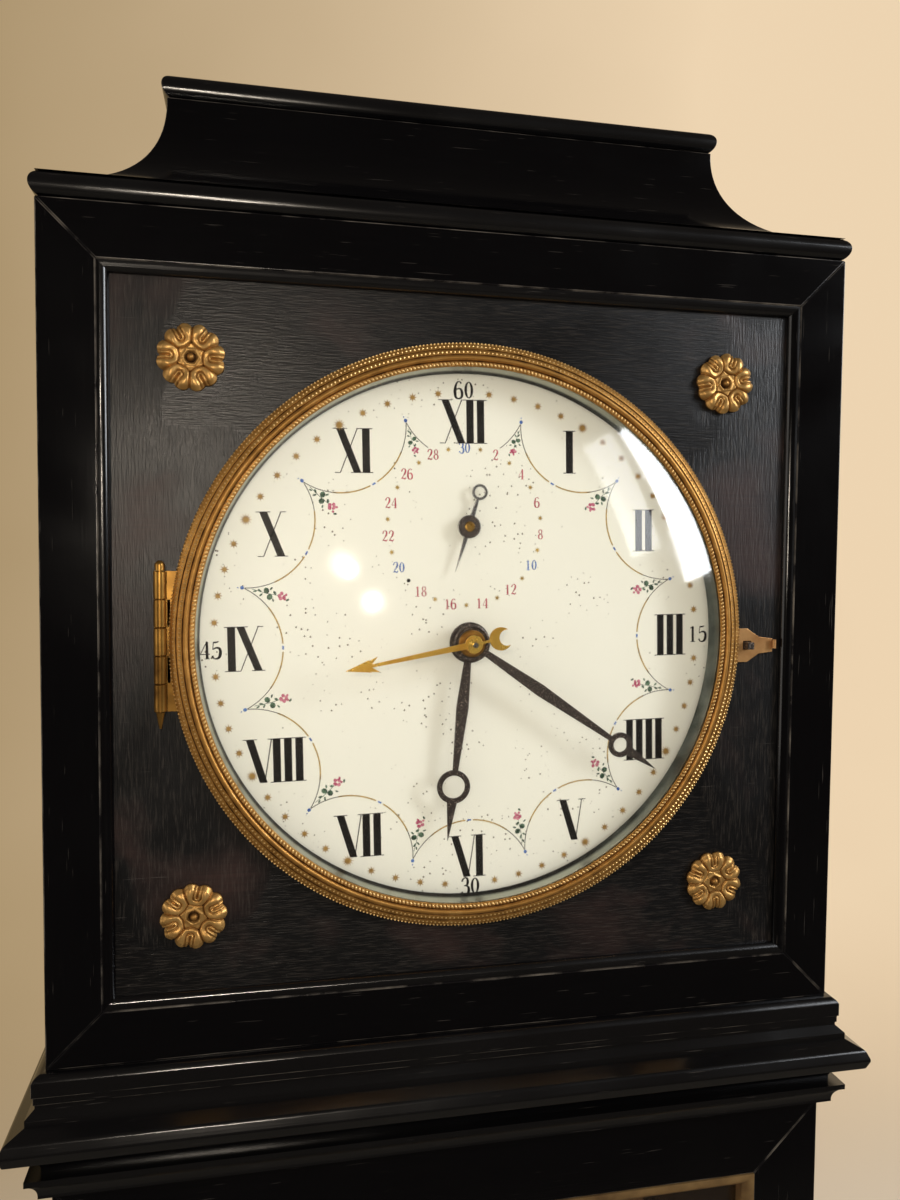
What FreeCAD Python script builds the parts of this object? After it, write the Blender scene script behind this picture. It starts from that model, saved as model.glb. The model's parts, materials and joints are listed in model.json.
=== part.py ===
import FreeCAD, Part
import math
import os
from types import SimpleNamespace

import Sketcher

# Floor-standing regulator clock in an ebonised case.
# Millimetres, +Z up, front towards -Y, origin on the floor under the middle of the case.

SIZES = {
    # whole case
    "dial_height": 1680,
    "case_depth": 236,
    "backboard_thick": 14,
    "backboard_margin": 20,
    # hood front
    "hood_width": 450,
    "hood_frame_rise": 225.4,
    "hood_frame_drop": 219.5,
    "frame_member": 28.5,
    "frame_thick": 22,
    "panel_recess": 5,
    "panel_thick": 8,
    "panel_bead_width": 6,
    "panel_bead_depth": 4.5,
    "hood_side_thick": 14,
    # hood base moulding
    "hood_base_height": 15.1,
    "hood_base_projection": 6,
    "hood_base_ovolo": 3.5,
    "hood_base_fascia": 7.5,
    "hood_base_quirk": 0.8,
    "hood_slide_gap": 0.4,
    # cornice and crest
    "nosing_height": 13,
    "nosing_projection": 2.5,
    "nosing_depth": 24,
    "cove_radius": 65.8,
    "cove_rise": 65.6,
    "crest_inset": 58.5,
    "cove_wall": 13,
    "crest_neck": 2,
    "crest_nosing_height": 13,
    "crest_nosing_projection": 2.8,
    "crest_cap_margin": 8.7,
    "crest_cap_height": 14.5,
    # corner rosettes
    "rosette_radius": 17.5,
    "rosette_offset_x": 150.5,
    "rosette_offset_z": 147.4,
    "rosette_petal_height": 5,
    "rosette_boss_radius": 4.2,
    "rosette_boss_height": 9,
    # bezel
    "bezel_rise": 2.9,
    "bezel_radius": 163,
    "sight_radius": 149,
    "bezel_gap": 0.3,
    "bezel_height": 8,
    "bezel_edge_height": 3.2,
    "bezel_lip": 2.2,
    "bezel_lip_thick": 1.2,
    "glass_rise": 26.4,
    "glass_thick": 2.5,
    "sight_ring_depth": 9,
    "sight_ring_wall": 4.2,
    "panel_hole_gap": 0.8,
    # bezel hinge, lug and catch
    "hinge_knuckle_radius": 3.2,
    "hinge_knuckle_length": 14.7,
    "hinge_knuckle_gap": 0.3,
    "hinge_pin_radius": 1.4,
    "hinge_running_gap": 0.05,
    "hinge_plate_thick": 1,
    "lug_length": 22,
    "lug_height": 20,
    "lug_thick": 2,
    "lug_hole": 5,
    "catch_stud": 4.2,
    "catch_stud_length": 7,
    "catch_offset": 168.5,
    "catch_drop": 6,
    # dial and hands
    "dial_radius": 153,
    "dial_setback": 15,
    "dial_thick": 3,
    "dial_foot_radius": 3,
    "dial_foot_x": 62,
    "dial_foot_top": 85,
    "dial_foot_bottom": 95,
    "date_rise": 65,
    "date_arbor_radius": 1.9,
    "hand_thick": 1.5,
    "hour_hand_length": 113,
    "hour_ring_offset": 82,
    "hour_hub_radius": 11.5,
    "minute_hand_length": 134,
    "minute_ring_offset": 107,
    "minute_hub_radius": 9,
    "hour_ring_radius": 9.5,
    "minute_ring_radius": 7.2,
    "date_ring_radius": 4.5,
    "hand_ring_width": 3,
    "hand_bar_width": 7,
    "seconds_hand_length": 72,
    "seconds_tail": 22,
    "seconds_hub_radius": 5,
    "date_hand_length": 26.7,
    "date_ring_offset": 20.4,
    "date_hub_radius": 6.5,
    "date_hand_setback": 11,
    "hour_hand_setback": 7,
    "minute_hand_setback": 2,
    "seconds_hand_setback": -4,
    "seconds_arbor_end": -8,
    # movement plates
    "plate_setback": 50,
    "plate_thick": 4,
    "plate_gap": 52,
    "plate_width": 150,
    "plate_top": 95,
    "plate_bottom": 150,
    "pillar_radius": 5,
    "pillar_inset": 12,
    # going train
    "escape_distance": 28.8,
    "third_distance": 30.6,
    "great_distance": 54,
    "motion_distance": 39,
    "date_first_distance": 48,
    "date_second_distance": 39,
    "anchor_rise": 34,
    "arbor_radius": 2,
    "seconds_arbor_radius": 1.5,
    "pipe_wall": 2,
    "running_gap": 0.05,
    "stud_radius": 1.2,
    "wheel_thick": 3.5,
    "pinion_length": 6,
    "sheave_radius": 32,
    "sheave_width": 12,
    "line_radius": 2,
    "line_sheave_gap": 0.3,
    # anchor and pendulum
    "pallet_gap": 1.3,
    "anchor_arm": 6,
    "crutch_length": 110,
    "crutch_gap": 0.4,
    "pendulum_setback": 152,
    "pendulum_length": 994,
    "spring_length": 20,
    "spring_width": 12,
    "spring_thick": 0.4,
    "rod_radius": 4.5,
    "rod_block_height": 22,
    "rod_block_width": 18,
    "rod_block_depth": 10,
    "bob_radius": 85,
    "bob_thick": 44,
    "bob_edge": 6,
    "rating_nut_radius": 12,
    "rating_nut_height": 12,
    "rod_tail": 25,
    # bracket on the backboard
    "bracket_thick": 8,
    "bracket_arm": 12,
    "bracket_arm_height": 16,
    "bolt_radius": 4,
    "bolt_head_radius": 7,
    "bolt_head_height": 5,
    "bolt_offset_x": 40,
    "wall_screw_radius": 4,
    "wall_screw_spacing": 240,
    "wall_screw_rise": 160,
    # weights
    "weight_radius": 30,
    "weight_height": 210,
    "weight_line": 1000,
    "counter_radius": 11,
    "counter_height": 60,
    "counter_line": 630,
    "hook_radius": 3,
    "hook_height": 14,
    # trunk
    "trunk_width": 446,
    "trunk_side_thick": 16,
    "cornice_lip": 4.4,
    "cornice_lip_height": 1.5,
    "cornice_fillet": 8.5,
    "cornice_fillet_top": 5,
    "cornice_fillet_bottom": 8.6,
    "cornice_shoulder": 17,
    "cornice_shoulder_drop": 12.5,
    "cornice_nose": 19.4,
    "cornice_nose_drop": 17.8,
    "cornice_under": 17,
    "cornice_under_drop": 24,
    "cornice_hollow": 2.2,
    "cornice_hollow_drop": 34.3,
    "cornice_hollow_radius": 16,
    "necking_projection": 9.2,
    "necking_top": 37,
    "necking_lip_height": 3,
    "necking_foot": 3.7,
    "necking_drop": 50,
    "necking_radius": 10,
    # trunk door
    "door_member": 42,
    "door_thick": 22,
    "door_gap": 1.5,
    "door_rest_gap": 0.4,
    "trim_width": 7,
    "trim_proud": 1,
    "door_glass_setback": 9,
    "door_glass_thick": 2.5,
    "door_hinge_length": 60,
    "door_hinge_leaf": 18,
    "door_hinge_plate": 1.5,
    "door_knuckle_radius": 3,
    "door_pin_radius": 1.5,
    "door_hinge_inset": 160,
    "key_plate_width": 18,
    "key_plate_height": 34,
    "key_plate_thick": 1.5,
    "keyhole_radius": 3,
    # plinth
    "plinth_height": 385,
    "plinth_margin": 17,
    "plinth_step": 15,
    "plinth_front_thick": 20,
    "plinth_field_border": 45,
    "plinth_field_sink": 4,
    "bottom_board_thick": 20,
    "base_height": 70,
    "base_projection": 15,
    "base_slope": 22,
    "cap_height": 15,
    "cap_edge": 4,
}

# Teeth and angles of the train. Clock angles run clockwise from twelve.
GREAT_TEETH = 96
HOUR_PINION = 12
HOUR_TEETH = 60
THIRD_PINION = 8
THIRD_TEETH = 64
ESCAPE_PINION = 8
ESCAPE_TEETH = 30
MOTION_TEETH = 48
MOTION_PINION = 8
HOUR_HAND_TEETH = 96
DATE_FIRST_PINION = 16
DATE_FIRST_TEETH = 80
DATE_SECOND_PINION = 8
DATE_TEETH = 96
THIRD_ANGLE = math.radians(-56)
HOUR_ARBOR_ANGLE = math.radians(-122)
HOUR_HAND_CLOCK_ANGLE = 186
MINUTE_HAND_CLOCK_ANGLE = 124
SECONDS_HAND_CLOCK_ANGLE = 259
DATE_HAND_CLOCK_ANGLE = 197
PETALS = 6
SPOKES = 5

doc = FreeCAD.newDocument("regulator_clock")
sheet = doc.addObject("Spreadsheet::Sheet", "sizes")
for row, (alias, number) in enumerate(SIZES.items(), start=1):
    sheet.set(f"A{row}", alias)
    sheet.set(f"B{row}", str(number))
    sheet.setAlias(f"B{row}", alias)
doc.recompute()


class Size:
    """A length with its value and the expression that works it out from the sheet."""

    def __init__(self, value, text):
        self.value = float(value)
        self.text = text

    def __add__(self, other):
        other = as_size(other)
        return Size(self.value + other.value, f"({self.text} + {other.text})")

    def __radd__(self, other):
        return as_size(other) + self

    def __sub__(self, other):
        other = as_size(other)
        return Size(self.value - other.value, f"({self.text} - {other.text})")

    def __rsub__(self, other):
        return as_size(other) - self

    def __mul__(self, other):
        other = as_size(other)
        return Size(self.value * other.value, f"({self.text} * {other.text})")

    def __rmul__(self, other):
        return as_size(other) * self

    def __truediv__(self, other):
        other = as_size(other)
        return Size(self.value / other.value, f"({self.text} / {other.text})")

    def __neg__(self):
        return Size(-self.value, f"(-1 * {self.text})")


def as_size(number):
    if isinstance(number, Size):
        return number
    return Size(number, f"({float(number):.9f})")


def root(size):
    return Size(math.sqrt(size.value), f"sqrt({size.text})")


s = SimpleNamespace(**{name: Size(sheet.get(name), f"sizes.{name}") for name in SIZES})
zero = as_size(0)
sub_parts = []


# Helpers

def keep(solid, node):
    """Counts a solid as one of the clock's own pieces."""
    solid.Label = node
    sub_parts.append(solid)
    return solid


def place(solid, x, y, z):
    for axis, size in zip("xyz", (x, y, z)):
        solid.setExpression(f"Placement.Base.{axis}", as_size(size).text)


def box(name, low, high):
    """A board or block between two corners."""
    solid = doc.addObject("Part::Box", name)
    for side, start, end in zip(("Length", "Width", "Height"), low, high):
        solid.setExpression(side, (as_size(end) - as_size(start)).text)
    place(solid, *low)
    return solid


TURN = {
    "x": FreeCAD.Rotation(FreeCAD.Vector(0, 1, 0), 90),
    "y": FreeCAD.Rotation(FreeCAD.Vector(1, 0, 0), -90),
    "z": FreeCAD.Rotation(),
}


def cylinder(name, axis, start, radius, length):
    """A round bar that runs from its start point along an axis."""
    solid = doc.addObject("Part::Cylinder", name)
    solid.setExpression("Radius", as_size(radius).text)
    solid.setExpression("Height", as_size(length).text)
    solid.Placement = FreeCAD.Placement(FreeCAD.Vector(), TURN[axis])
    place(solid, *start)
    return solid


def fuse(name, solids):
    joined = doc.addObject("Part::MultiFuse", name)
    joined.Shapes = solids
    return joined


def cut(name, base, tools):
    tool = tools[0] if len(tools) == 1 else fuse(name + "_tools", tools)
    remainder = doc.addObject("Part::Cut", name)
    remainder.Base = base
    remainder.Tool = tool
    return remainder


def group(name, solids):
    """Separate solids that share one node."""
    compound = doc.addObject("Part::Compound", name)
    compound.Links = solids
    return compound


def plane(body, role):
    return [feature for feature in body.Origin.OriginFeatures if feature.Role == role][0]


def new_sketch(body, role, name):
    sketch = body.newObject("Sketcher::SketchObject", name)
    sketch.AttachmentSupport = [(plane(body, role), "")]
    sketch.MapMode = "FlatFace"
    return sketch


def fix_point(sketch, edge, end, u, v):
    """Dimensions one point from the sketch's origin, from the sheet."""
    for kind, size in (("DistanceX", u), ("DistanceY", v)):
        number = sketch.addConstraint(Sketcher.Constraint(kind, -1, 1, edge, end, size.value))
        sketch.setExpression(f"Constraints[{number}]", size.text)


def arc_between(start, end, radius, turn):
    """An arc under a half circle; turn is 1 for anticlockwise and -1 for clockwise."""
    chord = end - start
    middle = (start + end) * 0.5
    across = FreeCAD.Vector(-chord.y, chord.x, 0).normalize()
    reach = math.sqrt(radius ** 2 - (chord.Length / 2) ** 2)
    centre = middle + across * (reach * turn)
    first, last = (start, end) if turn > 0 else (end, start)
    first_angle = math.atan2(first.y - centre.y, first.x - centre.x)
    last_angle = math.atan2(last.y - centre.y, last.x - centre.x)
    if last_angle < first_angle:
        last_angle += 2 * math.pi
    circle = Part.Circle(centre, FreeCAD.Vector(0, 0, 1), radius)
    return Part.ArcOfCircle(circle, first_angle, last_angle)


def draw(sketch, outline, closed=True):
    """Draws an outline. A point is (u, v), or (u, v, radius, turn) where an arc leads to it."""
    points = [tuple(as_size(size) for size in point[:2]) for point in outline]
    spots = [FreeCAD.Vector(u.value, v.value, 0) for u, v in points]
    count = len(points)
    first_edge = sketch.GeometryCount
    ends = []
    edges = count if closed else count - 1
    for index in range(edges):
        after = (index + 1) % count
        target = outline[after]
        if len(target) == 4:
            radius, turn = as_size(target[2]), target[3]
            edge = sketch.addGeometry(arc_between(spots[index], spots[after], radius.value, turn))
            ends.append((1, 2) if turn > 0 else (2, 1))
        else:
            edge = sketch.addGeometry(Part.LineSegment(spots[index], spots[after]))
            ends.append((1, 2))
    for index in range(edges):
        after = (index + 1) % edges
        if closed or after:
            sketch.addConstraint(Sketcher.Constraint(
                "Coincident", first_edge + index, ends[index][1], first_edge + after, ends[after][0]))
        fix_point(sketch, first_edge + index, ends[index][0], *points[index])
    if not closed:
        fix_point(sketch, first_edge + edges - 1, ends[-1][1], *points[-1])
    for index in range(edges):
        target = outline[(index + 1) % count]
        if len(target) == 4:
            radius = as_size(target[2])
            number = sketch.addConstraint(Sketcher.Constraint("Radius", first_edge + index, radius.value))
            sketch.setExpression(f"Constraints[{number}]", radius.text)


def draw_circle(sketch, u, v, radius):
    u, v, radius = as_size(u), as_size(v), as_size(radius)
    centre = FreeCAD.Vector(u.value, v.value, 0)
    edge = sketch.addGeometry(Part.Circle(centre, FreeCAD.Vector(0, 0, 1), radius.value))
    fix_point(sketch, edge, 3, u, v)
    number = sketch.addConstraint(Sketcher.Constraint("Radius", edge, radius.value))
    sketch.setExpression(f"Constraints[{number}]", radius.text)


def new_body(name):
    return doc.addObject("PartDesign::Body", name)


def pad(body, sketch, depth):
    """Pads a sketch of the front plane backwards, towards +Y."""
    feature = body.newObject("PartDesign::Pad", body.Name + "_pad")
    feature.Profile = sketch
    feature.setExpression("Length", as_size(depth).text)
    feature.Reversed = True
    return feature


def plate(name, outlines, y, depth, circles=()):
    """A flat piece cut to an outline seen from the front."""
    body = new_body(name)
    sketch = new_sketch(body, "XZ_Plane", name + "_outline")
    for outline in outlines:
        draw(sketch, outline)
    for circle in circles:
        draw_circle(sketch, *circle)
    pad(body, sketch, depth)
    place(body, zero, y, zero)
    return body


def turned(name, outline, axis, x, y, z):
    """A turned piece. The outline gives radius and height along the axis."""
    body = new_body(name)
    sketch = new_sketch(body, "XZ_Plane" if axis == "z" else "XY_Plane", name + "_outline")
    draw(sketch, outline)
    feature = body.newObject("PartDesign::Revolution", name + "_turned")
    feature.Profile = sketch
    feature.ReferenceAxis = (sketch, ["V_Axis"])
    feature.Angle = 360
    place(body, x, y, z)
    return body


def run(name, profile, path, path_role, closed):
    """A moulding with mitred corners. The profile gives depth and height where the path crosses x = 0."""
    body = new_body(name)
    track = new_sketch(body, path_role, name + "_path")
    draw(track, path, closed)
    section = new_sketch(body, "YZ_Plane", name + "_section")
    draw(section, profile)
    feature = body.newObject("PartDesign::AdditivePipe", name + "_run")
    feature.Profile = section
    feature.Spine = (track, [])
    feature.Transition = "Right corner"
    return body


def wrap(name, half, face, profile):
    """A moulding round the front and both sides of the case. Profile points are (projection, height)."""
    path = [(-half, back), (-half, face), (half, face), (half, back)]
    section = [(face - point[0], *point[1:]) for point in profile]
    return run(name, section, path, "XY_Plane", False)


def mitred_frame(name, half, low, high, member, y, depth):
    """Four members with their ends cut at 45 degrees."""
    outer = [(-half, low), (half, low), (half, high), (-half, high)]
    inner = [
        (member - half, low + member),
        (half - member, low + member),
        (half - member, high - member),
        (member - half, high - member),
    ]
    members = []
    for index, side in enumerate(("bottom", "right", "top", "left")):
        after = (index + 1) % 4
        outline = [outer[index], outer[after], inner[after], inner[index]]
        members.append(plate(f"{name}_{side}", [outline], y, depth))
    return group(name, members)


# Places that several pieces share

front = -s.case_depth / 2
back = s.case_depth / 2
dial = s.dial_height
hood_half = s.hood_width / 2
trunk_half = s.trunk_width / 2
trunk_inner = trunk_half - s.trunk_side_thick
hood_frame_top = dial + s.hood_frame_rise
hood_frame_bottom = dial - s.hood_frame_drop
hood_bottom = hood_frame_bottom - s.hood_base_height
trunk_top = hood_bottom - s.hood_slide_gap
trunk_set_in = hood_half - trunk_half
trunk_face = front + trunk_set_in
trunk_board_front = trunk_face + s.door_thick + s.door_rest_gap
panel_front = front + s.panel_recess
board_front = back - s.backboard_thick


# Hood case

def build_hood_front():
    keep(mitred_frame("hood_front_frame", hood_half, hood_frame_bottom, hood_frame_top,
                      s.frame_member, front, s.frame_thick), "hood_front_frame")
    half = hood_half - s.frame_member
    low = hood_frame_bottom + s.frame_member
    high = hood_frame_top - s.frame_member
    outline = [(-half, low), (half, low), (half, high), (-half, high)]
    hole = (zero, dial + s.bezel_rise, s.sight_radius + s.bezel_lip + s.panel_hole_gap)
    slot = s.catch_stud / 2
    catch_z = dial + s.bezel_rise - s.catch_drop
    catch = [
        (s.catch_offset - slot, catch_z - slot),
        (s.catch_offset + slot, catch_z - slot),
        (s.catch_offset + slot, catch_z + slot),
        (s.catch_offset - slot, catch_z + slot),
    ]
    keep(plate("hood_front_panel", [outline, catch], panel_front, s.panel_thick, [hole]), "hood_front_panel")

    top = panel_front - s.panel_bead_depth
    bead = [
        (panel_front, low),
        (panel_front, low + s.panel_bead_width),
        (panel_front - s.panel_bead_depth / 4, low + s.panel_bead_width),
        (top, low + s.panel_bead_width / 4, s.panel_bead_width, 1),
        (top, low),
    ]
    path = [(-half, low), (half, low), (half, high), (-half, high)]
    keep(run("hood_panel_bead", bead, path, "XZ_Plane", True), "hood_panel_bead")


def build_hood_sides():
    sides = []
    for side, sign in (("left", -1), ("right", 1)):
        inner = hood_half - s.hood_side_thick
        low_x = inner if sign > 0 else -hood_half
        sides.append(box(f"hood_side_{side}", (low_x, front + s.frame_thick, hood_frame_bottom),
                         (low_x + s.hood_side_thick, back, hood_frame_top)))
    keep(group("hood_side_boards", sides), "hood_side_boards")


def build_hood_base():
    step = s.hood_base_projection - s.hood_base_quirk
    fascia_low = hood_frame_bottom - s.hood_base_ovolo - s.hood_base_fascia
    profile = [
        (-s.hood_side_thick, hood_bottom),
        (step, hood_bottom),
        (step, fascia_low),
        (s.hood_base_projection, fascia_low),
        (s.hood_base_projection, hood_frame_bottom - s.hood_base_ovolo),
        (zero, hood_frame_bottom, s.hood_base_projection, -1),
        (-s.hood_side_thick, hood_frame_bottom),
    ]
    keep(wrap("hood_base_moulding", hood_half, front, profile), "hood_base_moulding")


def half_round(projection, inner, low, height):
    """A nosing whose front edge is two quarter rounds."""
    radius = height / 2
    return [
        (inner, low),
        (projection - radius, low),
        (projection, low + radius, radius, -1),
        (projection - radius, low + height, radius, -1),
        (inner, low + height),
    ]


def build_hood_crest():
    nosing = half_round(s.nosing_projection, -s.nosing_depth, hood_frame_top, s.nosing_height)
    keep(wrap("hood_cornice_nosing", hood_half, front, nosing), "hood_cornice_nosing")

    foot = hood_frame_top + s.nosing_height
    neck = foot + s.cove_rise
    top = neck + s.crest_neck
    inner = -(s.crest_inset + s.cove_wall)
    cove = [
        (zero, foot),
        (-s.crest_inset, neck, s.cove_radius, 1),
        (-s.crest_inset, top),
        (inner, top),
        (inner, neck),
        (s.cove_wall * -2.8, foot, s.cove_radius + s.cove_wall, -1),
    ]
    keep(wrap("hood_crest_cove", hood_half, front, cove), "hood_crest_cove")

    cap_edge = -(s.crest_inset + s.crest_cap_margin)
    rim = half_round(s.crest_nosing_projection - s.crest_inset, cap_edge, top, s.crest_nosing_height)
    keep(wrap("hood_crest_nosing", hood_half, front, rim), "hood_crest_nosing")
    cap_half = hood_half + cap_edge
    keep(box("hood_crest_cap", (-cap_half, front - cap_edge, top),
             (cap_half, back, top + s.crest_cap_height)), "hood_crest_cap")


def build_rosettes():
    """Six round petals about a domed boss, at the four corners of the panel."""
    petal = s.rosette_radius.value * 0.42
    ring = s.rosette_radius.value - petal
    height = s.rosette_petal_height.value
    back_axis = FreeCAD.Vector(0, -1, 0)
    flower = Part.makeCylinder(ring, height * 0.7, FreeCAD.Vector(), back_axis)
    for index in range(PETALS):
        angle = 2 * math.pi * (index + 0.5) / PETALS
        spot = FreeCAD.Vector(ring * math.cos(angle), 0, ring * math.sin(angle))
        flower = flower.fuse(Part.makeCylinder(petal, height, spot, back_axis))
    boss_radius = s.rosette_boss_radius.value
    calyx = Part.makeCone(boss_radius * 1.8, boss_radius, height * 1.4, FreeCAD.Vector(), back_axis)
    flower = flower.fuse(calyx)
    flower = flower.fuse(Part.makeCylinder(boss_radius * 0.8, s.rosette_boss_height.value,
                                           FreeCAD.Vector(), back_axis))
    flower = flower.removeSplitter()
    corners = []
    for name, across, up in (("upper_left", -1, 1), ("upper_right", 1, 1),
                             ("lower_left", -1, -1), ("lower_right", 1, -1)):
        rosette = doc.addObject("Part::Feature", "rosette_" + name)
        rosette.Shape = flower
        place(rosette, across * s.rosette_offset_x, panel_front,
              dial + s.bezel_rise + up * s.rosette_offset_z)
        corners.append(rosette)
    keep(group("corner_rosettes", corners), "corner_rosettes")


# Bezel, its hinge and its catch

bezel_z = dial + s.bezel_rise
bezel_back = panel_front - s.bezel_gap
glass_seat = s.sight_radius + s.bezel_lip
hinge_x = -(s.bezel_radius + s.hinge_knuckle_radius + s.bezel_gap)
hinge_y = panel_front - s.hinge_plate_thick - s.bezel_gap - s.hinge_knuckle_radius


def build_bezel():
    crown = -s.bezel_height
    shoulder = s.bezel_radius - (s.bezel_radius - s.sight_radius) * 0.7
    curve = (s.bezel_radius - s.sight_radius) * 1.2
    ring = [
        (glass_seat, zero),
        (s.bezel_radius, zero),
        (s.bezel_radius, -s.bezel_edge_height),
        (shoulder, crown, curve, -1),
        (s.sight_radius, crown + s.bezel_lip_thick),
        (s.sight_radius, crown + s.bezel_lip_thick * 2),
        (glass_seat, crown + s.bezel_lip_thick * 2),
    ]
    keep(turned("bezel_ring", ring, "y", zero, bezel_back, bezel_z), "bezel_ring")

    dome = (glass_seat * glass_seat + s.glass_rise * s.glass_rise) / (2 * s.glass_rise)
    edge = crown + s.bezel_lip_thick * 2 + s.bezel_lip / 2
    glass = [
        (zero, edge - s.glass_rise, dome, -1),
        (zero, edge - s.glass_rise + s.glass_thick),
        (glass_seat, edge + s.glass_thick, dome, 1),
        (glass_seat, edge),
    ]
    keep(turned("bezel_glass", glass, "y", zero, bezel_back, bezel_z), "bezel_glass")

    seat = edge + s.glass_thick
    rim = [
        (glass_seat, seat),
        (glass_seat, seat + s.sight_ring_depth),
        (glass_seat - s.sight_ring_wall, seat + s.sight_ring_depth),
        (glass_seat - s.sight_ring_wall / 2, seat),
    ]
    keep(turned("bezel_sight_ring", rim, "y", zero, bezel_back, bezel_z), "bezel_sight_ring")


def build_bezel_hinge():
    length = s.hinge_knuckle_length
    gap = s.hinge_knuckle_gap
    foot = bezel_z - length * 2.5
    fixed, moving = [], []
    for index in range(5):
        low = foot + length * index + gap / 2
        high = low + length - gap
        is_fixed = index % 2 == 0
        name = f"bezel_knuckle_{index}"
        barrel = cylinder(name, "z", (hinge_x, hinge_y, low), s.hinge_knuckle_radius, length - gap)
        if is_fixed:
            web = box(name + "_web", (hinge_x - s.hinge_knuckle_radius, hinge_y, low),
                      (hinge_x + s.hinge_knuckle_radius, panel_front - s.hinge_plate_thick, high))
            fixed += [barrel, web]
        else:
            web = box(name + "_web", (hinge_x, hinge_y - s.hinge_knuckle_radius, low),
                      (hinge_x + s.bezel_radius / 8, hinge_y + s.hinge_knuckle_radius, high))
            moving += [barrel, web]
    base = box("bezel_hinge_base",
               (hinge_x - s.hinge_knuckle_radius, panel_front - s.hinge_plate_thick, foot),
               (hinge_x + s.hinge_knuckle_radius, panel_front, foot + length * 5))
    pin_hole = cylinder("bezel_hinge_bore", "z", (hinge_x, hinge_y, foot - length),
                        s.hinge_pin_radius, length * 7)
    loose_hole = cylinder("bezel_hinge_loose_bore", "z", (hinge_x, hinge_y, foot - length),
                          s.hinge_pin_radius + s.hinge_running_gap, length * 7)
    ring_space = cylinder("bezel_hinge_ring_space", "y", (zero, panel_front - s.bezel_radius, bezel_z),
                          s.bezel_radius, s.bezel_radius * 2)
    leaf = fuse("bezel_fixed_leaf_solid", fixed + [base])
    keep(cut("bezel_hinge_fixed_leaf", leaf, [pin_hole]), "bezel_hinge_fixed_leaf")
    leaf = fuse("bezel_moving_leaf_solid", moving)
    keep(cut("bezel_hinge_moving_leaf", leaf, [loose_hole, ring_space]), "bezel_hinge_moving_leaf")

    radius = s.hinge_pin_radius
    half = length * 2.5
    head = s.hinge_knuckle_radius * 0.8
    pin = [
        (zero, -half - length * 0.6),
        (radius * 0.4, -half - length * 0.6),
        (radius * 1.6, -half - gap),
        (radius, -half - gap),
        (radius, half + gap),
        (head, half + gap),
        (head, half + gap + head),
        (zero, half + gap + head * 2, head, 1),
    ]
    keep(turned("bezel_hinge_pin", pin, "z", hinge_x, hinge_y, bezel_z), "bezel_hinge_pin")


def build_bezel_catch():
    low = bezel_z - s.catch_drop - s.lug_height / 2
    high = low + s.lug_height
    middle = bezel_z - s.catch_drop
    start = s.bezel_radius - s.lug_length / 4
    tip = s.bezel_radius + s.lug_length
    hole = s.lug_hole / 2
    outline = [
        (start, low),
        (s.bezel_radius + s.lug_length / 4, low),
        (s.bezel_radius + s.lug_length * 0.6, middle - s.lug_height / 4),
        (tip, middle - s.lug_height / 5),
        (tip, middle + s.lug_height / 5),
        (s.bezel_radius + s.lug_length * 0.6, middle + s.lug_height / 4),
        (s.bezel_radius + s.lug_length / 4, high),
        (start, high),
    ]
    square = [
        (s.catch_offset - hole, middle - hole),
        (s.catch_offset + hole, middle - hole),
        (s.catch_offset + hole, middle + hole),
        (s.catch_offset - hole, middle + hole),
    ]
    lug = plate("bezel_lug_plate", [outline, square], bezel_back - s.lug_thick, s.lug_thick)
    ring_space = cylinder("bezel_lug_ring_space", "y", (zero, panel_front - s.bezel_radius, bezel_z),
                          s.bezel_radius, s.bezel_radius * 2)
    keep(cut("bezel_latch_lug", lug, [ring_space]), "bezel_latch_lug")
    stud = s.catch_stud / 2
    keep(box("bezel_catch_stud",
             (s.catch_offset - stud, panel_front - s.catch_stud_length, middle - stud),
             (s.catch_offset + stud, panel_front + s.panel_thick, middle + stud)), "bezel_catch_stud")


# Trunk

def build_trunk_case():
    sides = []
    for side, sign in (("left", -1), ("right", 1)):
        low_x = trunk_inner if sign > 0 else -trunk_half
        sides.append(box(f"trunk_side_{side}", (low_x, trunk_board_front, s.bottom_board_thick),
                         (low_x + s.trunk_side_thick, back, trunk_top)))
    keep(group("trunk_side_boards", sides), "trunk_side_boards")
    keep(box("trunk_top_rail", (-trunk_half, trunk_face, trunk_top - s.necking_drop),
             (trunk_half, trunk_board_front, trunk_top)), "trunk_top_rail")

    def at(projection, drop):
        return projection + trunk_set_in, trunk_top - drop

    profile = [
        at(-trunk_set_in, zero),
        at(s.cornice_lip, zero),
        at(s.cornice_lip, s.cornice_lip_height),
        at(s.cornice_fillet, s.cornice_fillet_top),
        at(s.cornice_fillet, s.cornice_fillet_bottom),
        at(s.cornice_shoulder, s.cornice_shoulder_drop),
        at(s.cornice_nose, s.cornice_nose_drop),
        at(s.cornice_under, s.cornice_under_drop),
        (*at(s.cornice_hollow, s.cornice_hollow_drop), s.cornice_hollow_radius, -1),
        at(s.cornice_hollow, s.necking_top),
        at(s.necking_projection, s.necking_top),
        at(s.necking_projection, s.necking_top + s.necking_lip_height),
        (*at(s.necking_foot, s.necking_drop), s.necking_radius, -1),
        at(-trunk_set_in, s.necking_drop),
    ]
    keep(wrap("trunk_cornice", trunk_half, trunk_face, profile), "trunk_cornice")


def build_backboard():
    top = hood_frame_top - s.backboard_margin
    board = box("backboard_blank", (-trunk_inner, board_front, s.bottom_board_thick),
                (trunk_inner, back, top))
    holes = [cylinder(f"backboard_bolt_hole_{index}", "y", (x, board_front, z),
                      s.bolt_radius, s.backboard_thick)
             for index, (x, z) in enumerate(bolt_places())]
    for index, sign in enumerate((-1, 1)):
        holes.append(cylinder(f"backboard_wall_hole_{index}", "y",
                              (sign * s.wall_screw_spacing / 2, board_front, dial + s.wall_screw_rise),
                              s.wall_screw_radius, s.backboard_thick))
    keep(cut("backboard", board, holes), "backboard")


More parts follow.
